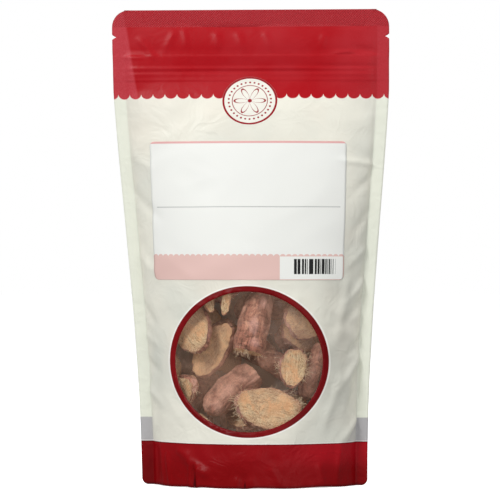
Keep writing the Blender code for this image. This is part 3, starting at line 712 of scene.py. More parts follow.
def filmMaterial(name, front):
    ink = filmInk
    material, pen, shader = newMaterial(name, **{"Specular IOR Level": 0.14})
    calc, ramp, blend = pen.calc, pen.ramp, pen.blend
    times, plus, minus, over = pen.times, pen.plus, pen.minus, pen.over
    larger, unsigned = pen.larger, pen.unsigned
    uvNode = pen.node("ShaderNodeUVMap", uv_map="filmUv")
    rawU, rawV, _ = pen.split(uvNode.outputs[0])
    u = times(minus(rawU, 0.5), pouch["flatWidth"])
    v = times(rawV, pouch["height"])
    places = pen.node("ShaderNodeTexCoord").outputs["Object"]
    away = unsigned(u)

    # pearly cream
    cool = ramp(pen.grain(places, "cool"), 0.42, 0.72)
    warm = ramp(pen.grain(pen.scaled(places, (1, 1, 1), (3.1, 0.4, 1.7)), "warm"), 0.50, 0.74)
    colour = blend(times(cool, ink["coolShare"]), ink["cream"], ink["creamCool"])
    colour = blend(times(warm, ink["warmShare"]), colour, ink["creamWarm"])
    # painted shade: the film drawn greyer in patches beside the window, on its right
    flank = times(pen.band(u, *ink["flankShadeSides"]), pen.band(v, *ink["flankShadeHeights"]))
    flank = times(flank, ramp(pen.grain(places, "flank"), 0.30, 0.62, 0.45, 1.0))
    colour = blend(times(flank, ink["flankShadeShare"]), colour, ink["flank"])
    onSeal = ramp(away, innerHalf - 0.0004, innerHalf + 0.0006)
    colour = blend(times(onSeal, ink["sealShare"]), colour, ink["seal"])
    # the folded gusset greys the film over it
    slope = times(minus(ink["foldTop"], v), ramp(u, -0.01, 0.01, 0.03, 0.90))
    overFold = times(ramp(v, ink["foldTop"] + 0.0003, ink["foldTop"] - 0.0003),
                    ramp(plus(away, slope), innerHalf - 0.0015, innerHalf + 0.0010))
    colour = blend(times(overFold, calc("MULTIPLY_ADD", onSeal, 0.45, 0.35)), colour, ink["foldGrey"])

    # red bands, the upper one scalloped
    lobe = times(minus(calc("FRACT", over(u, ink["bandPitch"])), 0.5), 2.0)
    arc = calc("SQRT", larger(minus(1.0, times(lobe, lobe)), 0.0))
    bandEdge = minus(ink["bandCusp"], times(arc, ink["bandDepth"]))
    overEdge = minus(v, bandEdge)
    topBand = ramp(overEdge, -0.00008, 0.00012)
    topTrim = ramp(overEdge, -0.00008 - ink["bandEdge"], 0.00012 - ink["bandEdge"])
    footBand = ramp(v, ink["footBand"] + 0.00012, ink["footBand"] - 0.00012)
    footTrim = ramp(v, ink["footBand"] + 0.0007, ink["footBand"] + 0.0005)
    leftward = ramp(u, 0.004, -0.004)
    spread = times(minus(pouch["height"], v), 0.16)
    speckle = ramp(pen.grain(places, "speckle"), 0.40, 0.62)
    # paler red on the seals and a little towards the right; on the left, a pale wedge widening downwards is a
    # painted highlight on a fold facet
    litFacetLeft = times(leftward, ramp(plus(away, spread), innerHalf - 0.0005, innerHalf + 0.0015))
    paleSealsAndHighlight = larger(times(litFacetLeft, ink["litFacetLeft"]), times(onSeal, ink["paleSeal"]))
    paleSealsAndHighlight = larger(paleSealsAndHighlight, ramp(u, *ink["rightSide"], 0.0, ink["paleRight"]))
    onTopSeal = ramp(v, pouch["topSeal"] - 0.0003, pouch["topSeal"] + 0.0004)
    paleSealsAndHighlight = larger(paleSealsAndHighlight, times(onTopSeal, ink["paleTopSeal"]))
    paleSealsAndHighlight = times(paleSealsAndHighlight, calc("MULTIPLY_ADD", speckle, 0.30, 0.80))
    mottle = ramp(pen.grain(places, "mottle"), 0.35, 0.75)
    upperRed = blend(times(mottle, 0.10), ink["red"], ink["redPale"])
    upperRed = blend(paleSealsAndHighlight, upperRed, ink["redPale"])
    # the foot band's red is the upper band's red drawn darker: painted shade
    footRed = blend(times(mottle, 0.12), ink["redFootShaded"], ink["redBright"])
    footRed = blend(times(times(onSeal, leftward), 0.55), footRed, ink["redDeep"])
    colour = blend(times(topTrim, ink["trimShare"]), colour, ink["trimPink"])
    pitch = 2 * math.pi / ink["embossPitch"]
    weave = times(calc("SINE", times(u, pitch)), calc("SINE", times(v, pitch)))
    # painted shade: the red darkened in the pits of the top seal's emboss
    embossPitShade = times(onTopSeal, ramp(weave, -0.3, 0.6, 0.0, ink["pitShadeShare"]))
    upperRed = blend(embossPitShade, upperRed, ink["redShade"])
    colour = blend(topBand, colour, upperRed)
    colour = blend(times(footTrim, ink["haloShare"]), colour, ink["halo"])
    # painted light: the foot band drawn brighter towards its top, more so on its right
    glow = times(ramp(v, *ink["footLightHeights"]), ramp(u, *ink["footLightSides"], *ink["footLightShares"]))
    footRed = blend(glow, footRed, ink["redBright"])
    # painted shade: dark in two creases of the foot and along its bottom edge, and a dark line along its top
    # edge
    pinch = ramp(v, 0.0024, 0.0004, 0.0, 0.7)
    pinch = larger(pinch, ramp(v, ink["footBand"] - 0.0009, ink["footBand"] - 0.0003, 0.0, 0.7))
    for place, half, tall in ink["creaseShadows"]:
        beside = unsigned(minus(u, place))
        creaseShade = ramp(plus(over(beside, half), over(v, tall)), 1.0, 0.35)
        pinch = larger(pinch, creaseShade)
    footRed = blend(times(pinch, ink["footShadeShare"]), footRed, ink["footShadeRed"])
    colour = blend(footBand, colour, footRed)

    if front:
        colour = addBadge(pen, colour, u, v)
        colour = addWindowLine(pen, colour, places, mottle)
    pen.plug(colour, shader.inputs["Base Color"])
    rough = calc("MULTIPLY_ADD", pen.grain(places, "gloss"), ink["glossSpread"], ink["gloss"])
    rough = calc("MULTIPLY_ADD", onSeal, 0.06, rough)
    pen.plug(rough, shader.inputs["Roughness"])

    # relief too fine for the mesh
    crumple = useGroup(pen, crumpleGroup, Vector=places, Crumple=1.0, Peel=1.0)
    flatter = ramp(v, 0.246, 0.262, 1.0, ink["reliefOnHead"])
    normal = pen.bump(times(crumple.outputs["Height"], flatter), ink["relief"], 0.75)
    normal = pen.bump(times(weave, onTopSeal), ink["embossHeight"], 1.0, normal)
    pen.plug(normal, shader.inputs["Normal"])
    return material


clearFilm = dict(
    tone=linear(226, 178, 150), haze=(0.004, 0.048), deepHaze=0.068, deepFrom=0.0006, deepTo=0.0130,
    dust=0.15, edgeOn=(0.60, 0.97, 0.34),
)


def clearFilmMaterial():
    c = clearFilm
    sockets = {"IOR": 1.9, "Roughness": 0.16, "Base Color": c["tone"]}
    material, pen, shader = newMaterial("clearFilm", **sockets)
    places = pen.node("ShaderNodeTexCoord").outputs["Object"]
    haze = pen.ramp(pen.grain(places, "haze"), 0.42, 0.66, *c["haze"])
    away = pen.node("ShaderNodeAttribute", attribute_name="clearance").outputs["Fac"]
    haze = pen.plus(haze, pen.ramp(away, c["deepFrom"], c["deepTo"], 0.0, c["deepHaze"]))
    # crumbs of root dust cling inside
    dusty = pen.ramp(pen.grain(places, "dusty"), 0.42, 0.62)
    dust = pen.times(pen.ramp(pen.grain(places, "dust"), 0.54, 0.66, 0.0, c["dust"]), dusty)
    haze = pen.plus(haze, dust)
    # glossier, so less clear, where it is seen edge on
    edgeOn = pen.node("ShaderNodeLayerWeight").outputs["Facing"]
    low, high, gloss = c["edgeOn"]
    pen.plug(pen.plus(haze, pen.ramp(edgeOn, low, high, 0.0, gloss)), shader.inputs["Alpha"])
    crumple = useGroup(pen, crumpleGroup, Vector=places, Crumple=1.0, Peel=1.0)
    pen.plug(pen.bump(crumple.outputs["Height"], 0.0010, 0.8), shader.inputs["Normal"])
    return material


def makePanels():
    u, z = panelGrid()
    uv = np.stack([u / pouch["flatWidth"] + 0.5, z / pouch["height"]], axis=-1)
    points, normals = filmPoints(u, z, -1)
    points, frontUv, sides = snapToWindow(points, uv)
    outside, inside = gridFaces(sides, -1)
    frontPrint = filmMaterial("frontPrint", True)
    front = shellPiece("frontFilm", points, normals, frontUv, outside, pouch["film"], frontPrint)
    pane = shellPiece("windowFilm", points, normals, frontUv, inside, pouch["film"], clearFilmMaterial())
    points, normals = filmPoints(u, z, 1)
    outside, _ = gridFaces(np.ones(u.shape, dtype=int), 1)
    backPrint = filmMaterial("backPrint", False)
    back = shellPiece("backFilm", points, normals, uv, outside, pouch["film"], backPrint)
    for piece, node, slot in ((front, "front_film", "printed_film"), (pane, "window_film", "clear_film"),
                              (back, "back_film", "printed_film")):
        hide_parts(node)
        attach(piece, "root")
    return pane


windowPane = makePanels()
print("film panels made")


# floor gusset

foot = dict(sealLow=0.005, sealHigh=0.042, reach=0.975, skirt=0.0012, flat=0.45, fold=0.045, ripple=0.0006,
            columns=96, rows=57, skirtRows=7, skirtReach=0.3, tuck=0.58, gap=0.00012, gapAtEnds=0.0012,
            film=0.0003, ground=0.00004)

# sections already worked out, by height
depthTables, lengthTables = {}, {}


def depthTable(z):
    key = round(z, 4)
    if key not in depthTables:
        depthTables[key] = sectionDepths(key)
    return depthTables[key]


def lengthTable(z):
    key = round(z, 3)
    if key not in lengthTables:
        lengthTables[key] = sectionOf(key)[1]
    return lengthTables[key]


def gussetSeal(share):
    return foot["sealLow"] + (foot["sealHigh"] - foot["sealLow"]) * np.abs(share) ** 2.6


def gussetFloor(share):
    rise = np.clip(np.abs(share) - foot["flat"], 0.0, None) / (1.0 - foot["flat"])
    return foot["ground"] + foot["fold"] * rise**1.7


def footMaterial():
    material, pen, shader = newMaterial("footPrint", **{"Roughness": 0.40, "Specular IOR Level": 0.14})
    places = pen.node("ShaderNodeTexCoord").outputs["Object"]
    mottle = pen.ramp(pen.grain(places, "foot"), 0.35, 0.75)
    # the foot's red drawn darker: painted shade
    pen.plug(pen.blend(pen.times(mottle, 0.2), filmInk["redFootShaded"], filmInk["redPale"]),
             shader.inputs["Base Color"])
    crumple = useGroup(pen, crumpleGroup, Vector=places, Crumple=1.3, Peel=1.0)
    pen.plug(pen.bump(crumple.outputs["Height"], 0.0012, 0.8), shader.inputs["Normal"])
    return material


def makeGusset():
    shares = np.sin(np.linspace(-1.0, 1.0, foot["columns"] + 1) * math.radians(80))
    shares *= foot["reach"] / shares[-1]
    skirt = 1.0 + np.linspace(0.0, foot["skirtReach"], foot["skirtRows"])[1:]
    levels = np.concatenate([-skirt[::-1], np.linspace(-1.0, 1.0, foot["rows"]), skirt])
    share, level = np.meshgrid(shares, levels)
    side = np.sign(level) + (level == 0)
    seal, base = gussetSeal(share), gussetFloor(share)
    skirtShare = np.clip((np.abs(level) - 1.0) / foot["skirtReach"], 0.0, 1.0)
    height = seal + (foot["skirt"] - seal) * skirtShare
    heights = np.linspace(0.0, foot["sealHigh"] + 0.004, 60)
    halves = np.array([sectionOf(float(h))[0] for h in heights])
    half = np.interp(height, heights, halves)
    lensDepth = np.empty_like(height)
    for index, h in np.ndenumerate(height):
        lensDepth[index] = np.interp(abs(share[index]), sectionSines, depthTable(float(h)))
    wall = lensDepth + pouch["offset"] - pouch["film"] - foot["film"] - foot["gap"]
    wall -= foot["gapAtEnds"] * share**2
    inward = np.clip((1.0 - np.abs(level)) / foot["tuck"], 0.0, 1.0)
    saddle = np.where(base > seal, np.sin(inward * math.pi / 2), inward * inward * (3 - 2 * inward))
    z = np.where(np.abs(level) > 1.0, height, seal + (base - seal) * saddle)
    y = np.where(np.abs(level) > 1.0, side * wall, wall * level)
    # the skirts are sealed to the panels and crease with them
    lengths = np.array([[np.interp(abs(s), sectionSines, lengthTable(float(h))) for s, h in zip(*pair)]
                        for pair in zip(share, height)])
    along = np.sign(share) * lengths
    creased = np.where(side < 0, reliefOf(along, height, -1), reliefOf(along, height, 1))
    y += side * creased * eased(0.80, 0.98, np.abs(level))
    ripple = foot["ripple"] * noiseField(share * 0.07, level * 0.035, 0.010, 0.012, 77.0)
    ripple = ripple * inward * (np.abs(share) > 0.2)
    z += ripple * eased(foot["flat"] - 0.2, foot["flat"] + 0.2, np.abs(share))
    z = np.clip(z, foot["ground"], None)
    points = np.stack([share * half + leanAt(z), y, z], axis=-1)
    # up is inside the pouch here, so the sheet's outer face looks down
    normals = gridNormals(points, 1)
    faces = []
    rows, columns = share.shape
    for i in range(rows - 1):
        for j in range(columns - 1):
            first = i * columns + j
            faces.append((first + columns, first + columns + 1, first + 1, first))
    uv = np.stack([share, level], axis=-1)
    return shellPiece("bottomGusset", points, normals, uv, faces, foot["film"], footMaterial())


gusset = makeGusset()
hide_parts("bottom_gusset")
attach(gusset, "root")
print("gusset made")


# paper label

def labelMaterial():
    card = label
    material, pen, shader = newMaterial("labelPaper", **{"Roughness": 0.55, "IOR": 1.45})
    calc, ramp, blend, times = pen.calc, pen.ramp, pen.blend, pen.times
    minus, over, larger = pen.minus, pen.over, pen.larger
    rawU, rawV, _ = pen.split(pen.node("ShaderNodeUVMap", uv_map="filmUv").outputs[0])
    u, v = times(rawU, card["size"][0]), times(rawV, card["size"][1])
    places = pen.node("ShaderNodeTexCoord").outputs["Object"]
    soft = 0.0001

    def between(value, low, high):
        return times(ramp(value, low - soft, low + soft), ramp(value, high + soft, high - soft))

    colour = blend(times(ramp(pen.grain(places, "paper"), 0.4, 0.7), 0.35), card["white"], card["whiteGrey"])
    colour = blend(between(v, card["size"][1] - card["strip"], 1.0), colour, card["stripPink"])
    rule = times(between(v, card["rule"] - card["ruleWide"] / 2, card["rule"] + card["ruleWide"] / 2),
                between(u, *card["ruleEnds"]))
    colour = blend(rule, colour, card["grey"])
    lobe = times(minus(calc("FRACT", over(u, card["bandPitch"])), 0.5), 2.0)
    arc = calc("SQRT", larger(minus(1.0, times(lobe, lobe)), 0.0))
    edge = calc("MULTIPLY_ADD", arc, card["bandDepth"], card["band"] - card["bandDepth"])
    colour = blend(ramp(minus(edge, v), -soft, soft), colour, card["pink"])
    x0, x1, y0, y1 = card["box"]
    colour = blend(times(between(u, x0, x1), between(v, y0, y1)), colour, card["white"])
    x0, x1, y0, y1 = card["bars"]
    cell = pen.node("ShaderNodeTexWhiteNoise", noise_dimensions="1D")
    pen.plug(calc("FLOOR", over(u, card["barWidth"])), cell.inputs["W"])
    bar = calc("GREATER_THAN", cell.outputs["Value"], card["barGap"])
    bars = times(bar, times(between(u, x0, x1), between(v, y0, y1)))
    colour = blend(bars, colour, card["ink"])
    pen.plug(colour, shader.inputs["Base Color"])
    pen.plug(pen.bump(pen.grain(places, "paperFibre"), 0.00006, 0.5), shader.inputs["Normal"])
    return material


def makeLabel():
    width, tall = label["size"]
    (cu, cz), corner = label["centre"], label["corner"]
    arcs = corner * (1.0 - np.cos(np.linspace(0.0, math.pi / 2, label["cornerRows"])))
    straightRows = np.linspace(corner, tall - corner, label["rows"])
    rows = np.concatenate([arcs[:-1], straightRows, (tall - arcs)[::-1][1:]])
    columns = np.linspace(-width / 2, width / 2, label["columns"])
    u, v = np.meshgrid(columns, rows)
    near = np.clip(corner - np.minimum(v, tall - v), 0.0, corner)
    limit = width / 2 - (corner - np.sqrt(corner**2 - near**2))
    straight = width / 2 - corner
    squeezed = straight + (np.abs(u) - straight) * (limit - straight) / corner
    u = np.where(np.abs(u) > width / 2 - corner * 1.01, np.sign(u) * squeezed, u)
    uv = np.stack([u / width + 0.5, v / tall], axis=-1)
    points, normals = filmPoints(u + cu, v + cz - tall / 2, -1, label["lift"])
    faces, _ = gridFaces(np.ones(u.shape, dtype=int), -1)
    piece = shellPiece("paperLabel", points, normals, uv, faces, label["paper"], labelMaterial())
    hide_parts("label")
    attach(piece, "root")


makeLabel()
print("label made")


# dried slices and finger ends

root = dict(
    weld=0.00002, creaseTurn=38.0, crease=0.45, levelNear=3, levelFar=2, nearWindow=-0.010,
    fleshPale=linear(255, 230, 184), flesh=linear(255, 190, 134), fleshDark=linear(152, 96, 62),
    skin=linear(188, 126, 104), skinDark=linear(92, 58, 48), skinPale=linear(246, 186, 156),
    skinLilac=linear(206, 160, 152), broadPaleLit=linear(255, 210, 160), broadDarkLit=linear(176, 124, 94),
    broadSkinPaleLit=linear(222, 170, 146), broadSkinDarkLit=linear(128, 88, 76), soft=0.62,
    # tones laid over one another: pattern, where it starts and is full, strength, tone
    fleshTones=(("bruise", 0.44, 0.66, 0.75, "flesh"), ("bruise", 0.60, 0.74, 0.55, "skin")),
    skinTones=(("rubbed", 0.48, 0.66, 0.75, "skinPale"), ("lilac", 0.50, 0.66, 0.60, "skinLilac")),
    fleshMix=(0.36, 0.58), skinMix=(0.38, 0.60), rimEdge=(0.95, 1.25), rimShare=0.7,
    ragged=1.3, cutEdge=(0.30, 0.62), behind=(0.0010, 0.0120), bump=0.0013,
    rimJag=1.5, strands=0.35, grooves=0.75, scars=0.25, lumps=0.55, dish=0.6, reach=(-1.4, 0.15),
)


def rootMaterial():
    r = root
    material, pen, shader = newMaterial("driedRoot", **{"Roughness": 0.85, "Specular IOR Level": 0.25})
    calc, ramp, blend, grain, streaks = pen.calc, pen.ramp, pen.blend, pen.grain, pen.streaks
    times, plus, minus = pen.times, pen.plus, pen.minus

    def attribute(name, socket):
        return pen.node("ShaderNodeAttribute", attribute_name=name).outputs[socket]

    def toned(colour, tones):
        for pattern, low, high, strength, tone in tones:
            colour = blend(times(ramp(grain(place, pattern), low, high), strength), colour, r[tone])
        return colour

    cut = attribute("cutFace", "Fac")
    place = attribute("grain", "Vector")
    dx, dy, _ = pen.split(attribute("disc", "Vector"))
    radius = calc("SQRT", plus(times(dx, dx), times(dy, dy)))
    # cut faces: pale and stringy, browner towards the skin and in old bruises
    strands = streaks(place, "strands")
    tangle = grain(place, "tangle")
    flesh = blend(ramp(calc("MULTIPLY_ADD", tangle, 0.5, times(strands, 0.5)), *r["fleshMix"]),
                  r["fleshDark"], r["fleshPale"])
    flesh = toned(flesh, r["fleshTones"])
    rim = ramp(calc("MULTIPLY_ADD", tangle, 0.5, radius), *r["rimEdge"])
    flesh = blend(times(rim, r["rimShare"]), flesh, r["skin"])
    # skin: pinkish brown with long wrinkles, paler where it is rubbed
    wrinkles = streaks(place, "wrinkles")
    rings = streaks(place, "rings")
    skin = blend(ramp(calc("MULTIPLY_ADD", rings, 0.4, times(wrinkles, 0.6)), *r["skinMix"]),
                 r["skinDark"], r["skin"])
    skin = toned(skin, r["skinTones"])
    ragged = calc("MULTIPLY_ADD", grain(place, "ragged"), r["ragged"], -r["ragged"] / 2)
    share = ramp(plus(cut, ragged), *r["cutEdge"])
    # what lies back from the clear film shows only its broad tones, drawn lighter than its own darks as
    # painted light
    back = times(ramp(attribute("behind", "Fac"), *r["behind"]), r["soft"])
    broad = ramp(grain(place, "broad"), 0.36, 0.64)
    tones = blend(ramp(cut, 0.2, 0.7), blend(broad, r["broadSkinDarkLit"], r["broadSkinPaleLit"]),
                  blend(broad, r["broadDarkLit"], r["broadPaleLit"]))
    pen.plug(blend(back, blend(share, skin, flesh), tones), shader.inputs["Base Color"])
    fleshHeight = calc("MULTIPLY_ADD", tangle, 0.9, times(strands, 0.7))
    skinHeight = calc("MULTIPLY_ADD", rings, 0.35, times(wrinkles, 0.8))
    height = plus(times(fleshHeight, share), times(skinHeight, minus(1.0, share)))
    height = times(height, calc("MULTIPLY_ADD", back, -0.5, 1.0))
    pen.plug(pen.bump(height, r["bump"], 1.0), shader.inputs["Normal"])
    return material


# the film's sections over the height of the filling
fillStep, fillRows = 0.001, 160
fillHeights = np.linspace(0.0, fillStep * fillRows, fillRows + 1)
fillSections = [sectionOf(float(z)) for z in fillHeights]
fillHalves = np.array([half for half, _, _ in fillSections])
fillDepths = np.array([depths for _, _, depths in fillSections])


def filmFront(points):
    # how far in front of the middle plane the film's inner face stands at some points, before relief
    half = np.interp(points[:, 2], fillHeights, fillHalves)
    share = np.clip(np.abs(points[:, 0] - leanAt(points[:, 2])) / half, 0.0, 1.0)
    row = np.clip(points[:, 2] / fillStep, 0.0, fillRows - 0.01)
    low = row.astype(int)
    column = np.interp(share, sectionSines, np.arange(len(sectionSines)))
    left = np.minimum(column.astype(int), len(sectionSines) - 2)
    part, side = row - low, column - left
    lower = fillDepths[low, left] * (1 - side) + fillDepths[low, left + 1] * side
    upper = fillDepths[low + 1, left] * (1 - side) + fillDepths[low + 1, left + 1] * side
    return lower * (1 - part) + upper * part + pouch["offset"] - pouch["film"]


def bodyAxes(points):
    centre = points.mean(axis=0)
    _, axes = np.linalg.eigh(np.cov((points - centre).T))
    axes = axes[:, ::-1].T
    if np.linalg.det(axes) < 0:
        axes[2] *= -1
    return centre, axes


def smoothedNode(node, material, level):
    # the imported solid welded, creased at its sharp edges and subdivided
    bm = bmesh.new()
    bm.from_mesh(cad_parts[node].data)
    bmesh.ops.remove_doubles(bm, verts=bm.verts, dist=root["weld"])
    crease = bm.edges.layers.float.new("crease_edge")
    for edge in bm.edges:
        if edge.is_manifold and math.degrees(edge.calc_face_angle(0.0)) > root["creaseTurn"]:
            edge[crease] = root["crease"]
    name = node.replace("galangal_", "dried_")
    mesh = bpy.data.meshes.new(name)
    bm.to_mesh(mesh)
    bm.free()
    piece = bpy.data.objects.new(name, mesh)
    scene.collection.objects.link(piece)
    smoothing = piece.modifiers.new("smoothing", "SUBSURF")
    smoothing.levels = smoothing.render_levels = level
    plainMesh(piece)
    piece.data.materials.clear()
    piece.data.materials.append(material)
    return piece


def cutOf(node, local, turned, axes):
    # by point: share of cut face, nearness to the cut's rim, the way inward, and place on the cut disc
    half = np.abs(local).max(axis=0)
    disc = local / half
    if "slice" in node:
        cut = eased(0.45, 0.85, np.abs(turned[:, 2]))
        rim = eased(0.72, 0.95, np.hypot(disc[:, 0], disc[:, 1]))
        inward = -(disc[:, :1] * axes[0] + disc[:, 1:2] * axes[1])
        return cut, rim, inward, disc
    # a finger end is cut at its thicker end only
    ends = [np.hypot(*local[disc[:, 0] * way > 0.8][:, 1:].T).max() for way in (-1, 1)]
    blunt = -1 if ends[0] > ends[1] else 1
    cut = eased(0.45, 0.80, turned[:, 0] * blunt) * eased(0.5, 0.8, disc[:, 0] * blunt)
    rim = eased(0.80, 0.98, disc[:, 0] * blunt)
    inward = np.repeat(-blunt * axes[:1], len(local), axis=0)
    disc = np.stack([local[:, 1] / half[1], local[:, 2] / half[2], disc[:, 0]], axis=1)
    return cut, rim, inward, disc


def carvingOf(local, cut, seed):
    # by point, in millimetres: the move along the normal, and how ragged a rim is there
    r = root
    moves, jags = np.empty(len(local)), np.empty(len(local))
    for k, p in enumerate(local * 1000.0):
        strands = noise.noise(Vector((p[0] * 0.30 + seed, p[1] * 1.3, p[2] * 1.3)))
        grooves = abs(noise.noise(Vector((p[0] * 0.06 + seed, p[1] * 0.36, p[2] * 0.36))))
        scars = noise.noise(Vector((p[0] * 0.50, p[1] * 0.10, p[2] * 0.10 + seed)))
        lumps = noise.noise(Vector((p[0] * 0.11, p[1] * 0.11 + seed, p[2] * 0.11)))
        rough = (1 - cut[k]) * (r["grooves"] * (1.6 * grooves - 0.8) + r["scars"] * scars)
        rough += cut[k] * r["strands"] * strands
        moves[k] = rough + r["lumps"] * (lumps - 0.4)
        jags[k] = noise.noise(Vector((p[0] * 0.42 + seed, p[1] * 0.42, p[2] * 0.42)))
    return moves, jags


def makeRootPiece(node, material, level):
    r = root
    piece = smoothedNode(node, material, level)
    mesh = piece.data
    points, normals = np.empty(len(mesh.vertices) * 3), np.empty(len(mesh.vertices) * 3)
    mesh.vertices.foreach_get("co", points)
    mesh.vertex_normals.foreach_get("vector", normals)
    points, normals = points.reshape(-1, 3), normals.reshape(-1, 3)
    centre, axes = bodyAxes(points)
    local = (points - centre) @ axes.T
    cut, rim, inward, disc = cutOf(node, local, normals @ axes.T, axes)
    moves, jags = carvingOf(local, cut, (sum(ord(letter) for letter in node) * 0.137) % 50)
    dished = np.clip(1.0 - disc[:, 0] ** 2 - disc[:, 1] ** 2, 0.0, 1.0)
    moves = np.clip(moves - r["dish"] * cut * dished, *r["reach"]) / 1000.0
    jags = rim * np.clip(jags + 0.25, 0.0, 1.0) * r["rimJag"] / 1000.0
    points = points + normals * moves[:, None] + inward * jags[:, None]
    mesh.vertices.foreach_set("co", points.ravel())
    layers = dict(cutFace=cut, tuft=np.clip(rim * (0.3 + cut), 0.0, 1.0),
                  behind=filmFront(points) + points[:, 1], grain=local, disc=disc)
    for key, values in layers.items():
        kind, field = ("FLOAT_VECTOR", "vector") if values.ndim == 2 else ("FLOAT", "value")
        layer = mesh.attributes.new(key, kind, "POINT")
        layer.data.foreach_set(field, values.astype(np.float32).ravel())
    mesh.update()
    mesh.shade_smooth()
    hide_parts(node)
    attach(piece, "root")
    return piece


def makeContents():
    material = rootMaterial()
    pieces, facing = [], []
    for node in sorted(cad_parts):
        if node.startswith("galangal_"):
            low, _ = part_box(node)
            near = low[1] < root["nearWindow"]
            piece = makeRootPiece(node, material, root["levelNear"] if near else root["levelFar"])
            pieces.append(piece)
            if near:
                facing.append(piece)
    return pieces, facing


def clearanceOf(pane, pieces):
    # how far the filling stands behind each point of the clear film
    points, faces = [], []
    for piece in pieces:
        start = len(points)
        points += [vert.co for vert in piece.data.vertices]
        faces += [[start + k for k in face.vertices] for face in piece.data.polygons]
    tree = BVHTree.FromPolygons(points, faces)
    distances = [tree.find_nearest(vert.co)[3] for vert in pane.data.vertices]
    layer = pane.data.attributes.new("clearance", "FLOAT", "POINT")
    layer.data.foreach_set("value", distances)


contents, facingWindow = makeContents()
clearanceOf(windowPane, facingWindow)
print("contents made:", len(contents))


# loose fibres on the torn edges that face the window

fibres = dict(
    amount=1900000.0, length=0.0044, thickness=0.00008, curl=0.0036, seed=5, patches=95.0,
    clear=0.00030, deepest=-0.022, colour=linear(255, 230, 192),
    start=(0.0, 0.0, -0.06), middle=(0.10, 0.05, 0.65), end=(0.55, 0.0, 0.90), steps=7, sides=3,
    tilt=(0.8, 0.8, 3.1), sizes=(0.35, 1.25), swirl=420.0, taper=0.6,
)


def fibreTree():
    tree = bpy.data.node_groups.new("looseFibres", "GeometryNodeTree")
    sockets = {}
    for name, kind in (("Geometry", "NodeSocketGeometry"), ("Amount", "NodeSocketFloat"),
                       ("Length", "NodeSocketFloat"), ("Thickness", "NodeSocketFloat"),
                       ("Curl", "NodeSocketFloat"), ("Seed", "NodeSocketInt"),
                       ("Material", "NodeSocketMaterial")):
        sockets[name] = tree.interface.new_socket(name, in_out="INPUT", socket_type=kind).identifier
    tree.interface.new_socket("Geometry", in_out="OUTPUT", socket_type="NodeSocketGeometry")
    pen = penFor(tree)
    node, plug = pen.node, pen.plug
    given, result = node("NodeGroupInput"), node("NodeGroupOutput")

    where = node("GeometryNodeInputNamedAttribute", data_type="FLOAT")
    where.inputs["Name"].default_value = "tuft"
    scatter = node("GeometryNodeDistributePointsOnFaces", distribute_method="RANDOM")
    plug(given.outputs["Geometry"], scatter.inputs["Mesh"])
    plug(pen.times(where.outputs["Attribute"], given.outputs["Amount"]), scatter.inputs["Density"])
    plug(given.outputs["Seed"], scatter.inputs["Seed"])

    hair = node("GeometryNodeCurveQuadraticBezier")
    hair.inputs["Resolution"].default_value = fibres["steps"]
    for key in ("start", "middle", "end"):
        hair.inputs[key.capitalize()].default_value = fibres[key]
    tilt = node("FunctionNodeRandomValue", data_type="FLOAT_VECTOR")
    tilt.inputs[0].default_value = [-angle for angle in fibres["tilt"]]
    tilt.inputs[1].default_value = fibres["tilt"]
    plug(given.outputs["Seed"], tilt.inputs["Seed"])
    turn = node("FunctionNodeRotateRotation", rotation_space="LOCAL")
    asTurn = node("FunctionNodeEulerToRotation")
    plug(tilt.outputs[0], asTurn.inputs[0])
    plug(scatter.outputs["Rotation"], turn.inputs["Rotation"])
    plug(asTurn.outputs[0], turn.inputs["Rotate By"])
    size = node("FunctionNodeRandomValue", data_type="FLOAT")
    size.inputs[2].default_value, size.inputs[3].default_value = fibres["sizes"]
    plug(given.outputs["Seed"], size.inputs["Seed"])
    place = node("GeometryNodeInstanceOnPoints")
    plug(scatter.outputs["Points"], place.inputs["Points"])
    plug(hair.outputs[0], place.inputs["Instance"])
    plug(turn.outputs[0], place.inputs["Rotation"])
    plug(pen.times(size.outputs[1], given.outputs["Length"]), place.inputs["Scale"])
    loose = node("GeometryNodeRealizeInstances")
    plug(place.outputs[0], loose.inputs[0])

    along = node("GeometryNodeSplineParameter")
    wind = node("ShaderNodeTexNoise")
    wind.inputs["Scale"].default_value = fibres["swirl"]
    wind.inputs["Detail"].default_value = 1.0
    centred = node("ShaderNodeVectorMath", operation="SUBTRACT")
    plug(wind.outputs["Color"], centred.inputs[0])
    centred.inputs[1].default_value = (0.5, 0.5, 0.5)
    bend = node("ShaderNodeVectorMath", operation="SCALE")
    plug(centred.outputs[0], bend.inputs[0])
    plug(pen.times(along.outputs["Factor"], given.outputs["Curl"]), bend.inputs["Scale"])
    bent = node("GeometryNodeSetPosition")
    plug(loose.outputs[0], bent.inputs["Geometry"])
    plug(bend.outputs[0], bent.inputs["Offset"])

    taper = node("GeometryNodeSetCurveRadius")
    plug(bent.outputs[0], taper.inputs["Curve"])
    plug(pen.calc("MULTIPLY_ADD", along.outputs["Factor"], -fibres["taper"], 1.0), taper.inputs["Radius"])
    profile = node("GeometryNodeCurvePrimitiveCircle")
    profile.inputs["Resolution"].default_value = fibres["sides"]
    plug(given.outputs["Thickness"], profile.inputs["Radius"])
    tube = node("GeometryNodeCurveToMesh")
    plug(taper.outputs[0], tube.inputs["Curve"])
    plug(profile.outputs[0], tube.inputs["Profile Curve"])
    tube.inputs["Fill Caps"].default_value = True
    plain = node("GeometryNodeRealizeInstances")
    plug(tube.outputs[0], plain.inputs[0])
    paint = node("GeometryNodeSetMaterial")
    plug(plain.outputs[0], paint.inputs["Geometry"])
    plug(given.outputs["Material"], paint.inputs["Material"])
    plug(paint.outputs[0], result.inputs[0])
    return tree, sockets


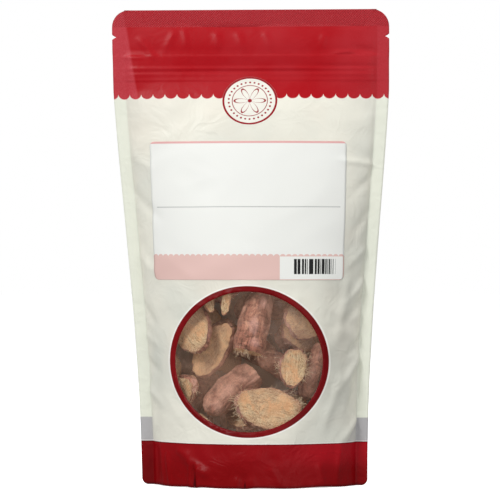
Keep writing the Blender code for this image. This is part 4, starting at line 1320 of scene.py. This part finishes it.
def makeFibres():
    f = fibres
    (cx, cz), (ax, az) = window["centre"], window["half"]
    source = bpy.data.objects.new("tornEdges", bpy.data.meshes.new("tornEdges"))
    bm = bmesh.new()
    for piece in facingWindow:
        bm.from_mesh(piece.data)
    tuft = bm.verts.layers.float["tuft"]
    for vert in bm.verts:
        x, y, z = vert.co
        inView = math.hypot((x - leanAt(z) - cx) / ax, (z - cz) / az) < 1.08
        patch = noise.noise(vert.co * f["patches"]) * 2.2 + 0.15
        if not inView or vert.normal.y > 0.35 or y > f["deepest"]:
            patch = 0.0
        vert[tuft] *= min(max(patch, 0.0), 1.0)
    bm.to_mesh(source.data)
    bm.free()
    scene.collection.objects.link(source)
    material, _, _ = newMaterial("looseFibre", **{"Roughness": 0.8, "Base Color": f["colour"]})
    tree, sockets = fibreTree()
    growth = source.modifiers.new("growth", "NODES")
    growth.node_group = tree
    for name, value in (("Amount", f["amount"]), ("Length", f["length"]), ("Thickness", f["thickness"]),
                        ("Curl", f["curl"]), ("Seed", f["seed"]), ("Material", material)):
        growth[sockets[name]] = value
    plainMesh(source)
    points = np.empty(len(source.data.vertices) * 3)
    source.data.vertices.foreach_get("co", points)
    points = points.reshape(-1, 3)
    points[:, 1] = np.maximum(points[:, 1], f["clear"] - filmFront(points))  # pressed flat by the film
    source.data.vertices.foreach_set("co", points.ravel())
    source.name = source.data.name = "looseFibres"
    source.data.update()
    source.data.shade_smooth()
    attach(source, "root")
    print("fibres:", len(source.data.polygons), "faces")


makeFibres()


# press zip: the imported strips keep their shape and get a plastic finish

zipFilm = dict(dull=linear(214, 214, 206), clear=linear(232, 232, 226))


def zipMaterial():
    material, pen, shader = newMaterial("zipPlastic", **{"Roughness": 0.32, "IOR": 1.5})
    places = pen.node("ShaderNodeTexCoord").outputs["Object"]
    tone = pen.ramp(pen.streaks(places, "zip"), 0.3, 0.7)
    pen.plug(pen.blend(tone, zipFilm["dull"], zipFilm["clear"]), shader.inputs["Base Color"])
    pen.plug(pen.bump(tone, 0.00008, 0.6), shader.inputs["Normal"])
    return material


zipFinish = zipMaterial()
for node in ("zip_front", "zip_back"):
    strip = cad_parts[node]
    strip.data.materials.clear()
    strip.data.materials.append(zipFinish)
print("zip finished")
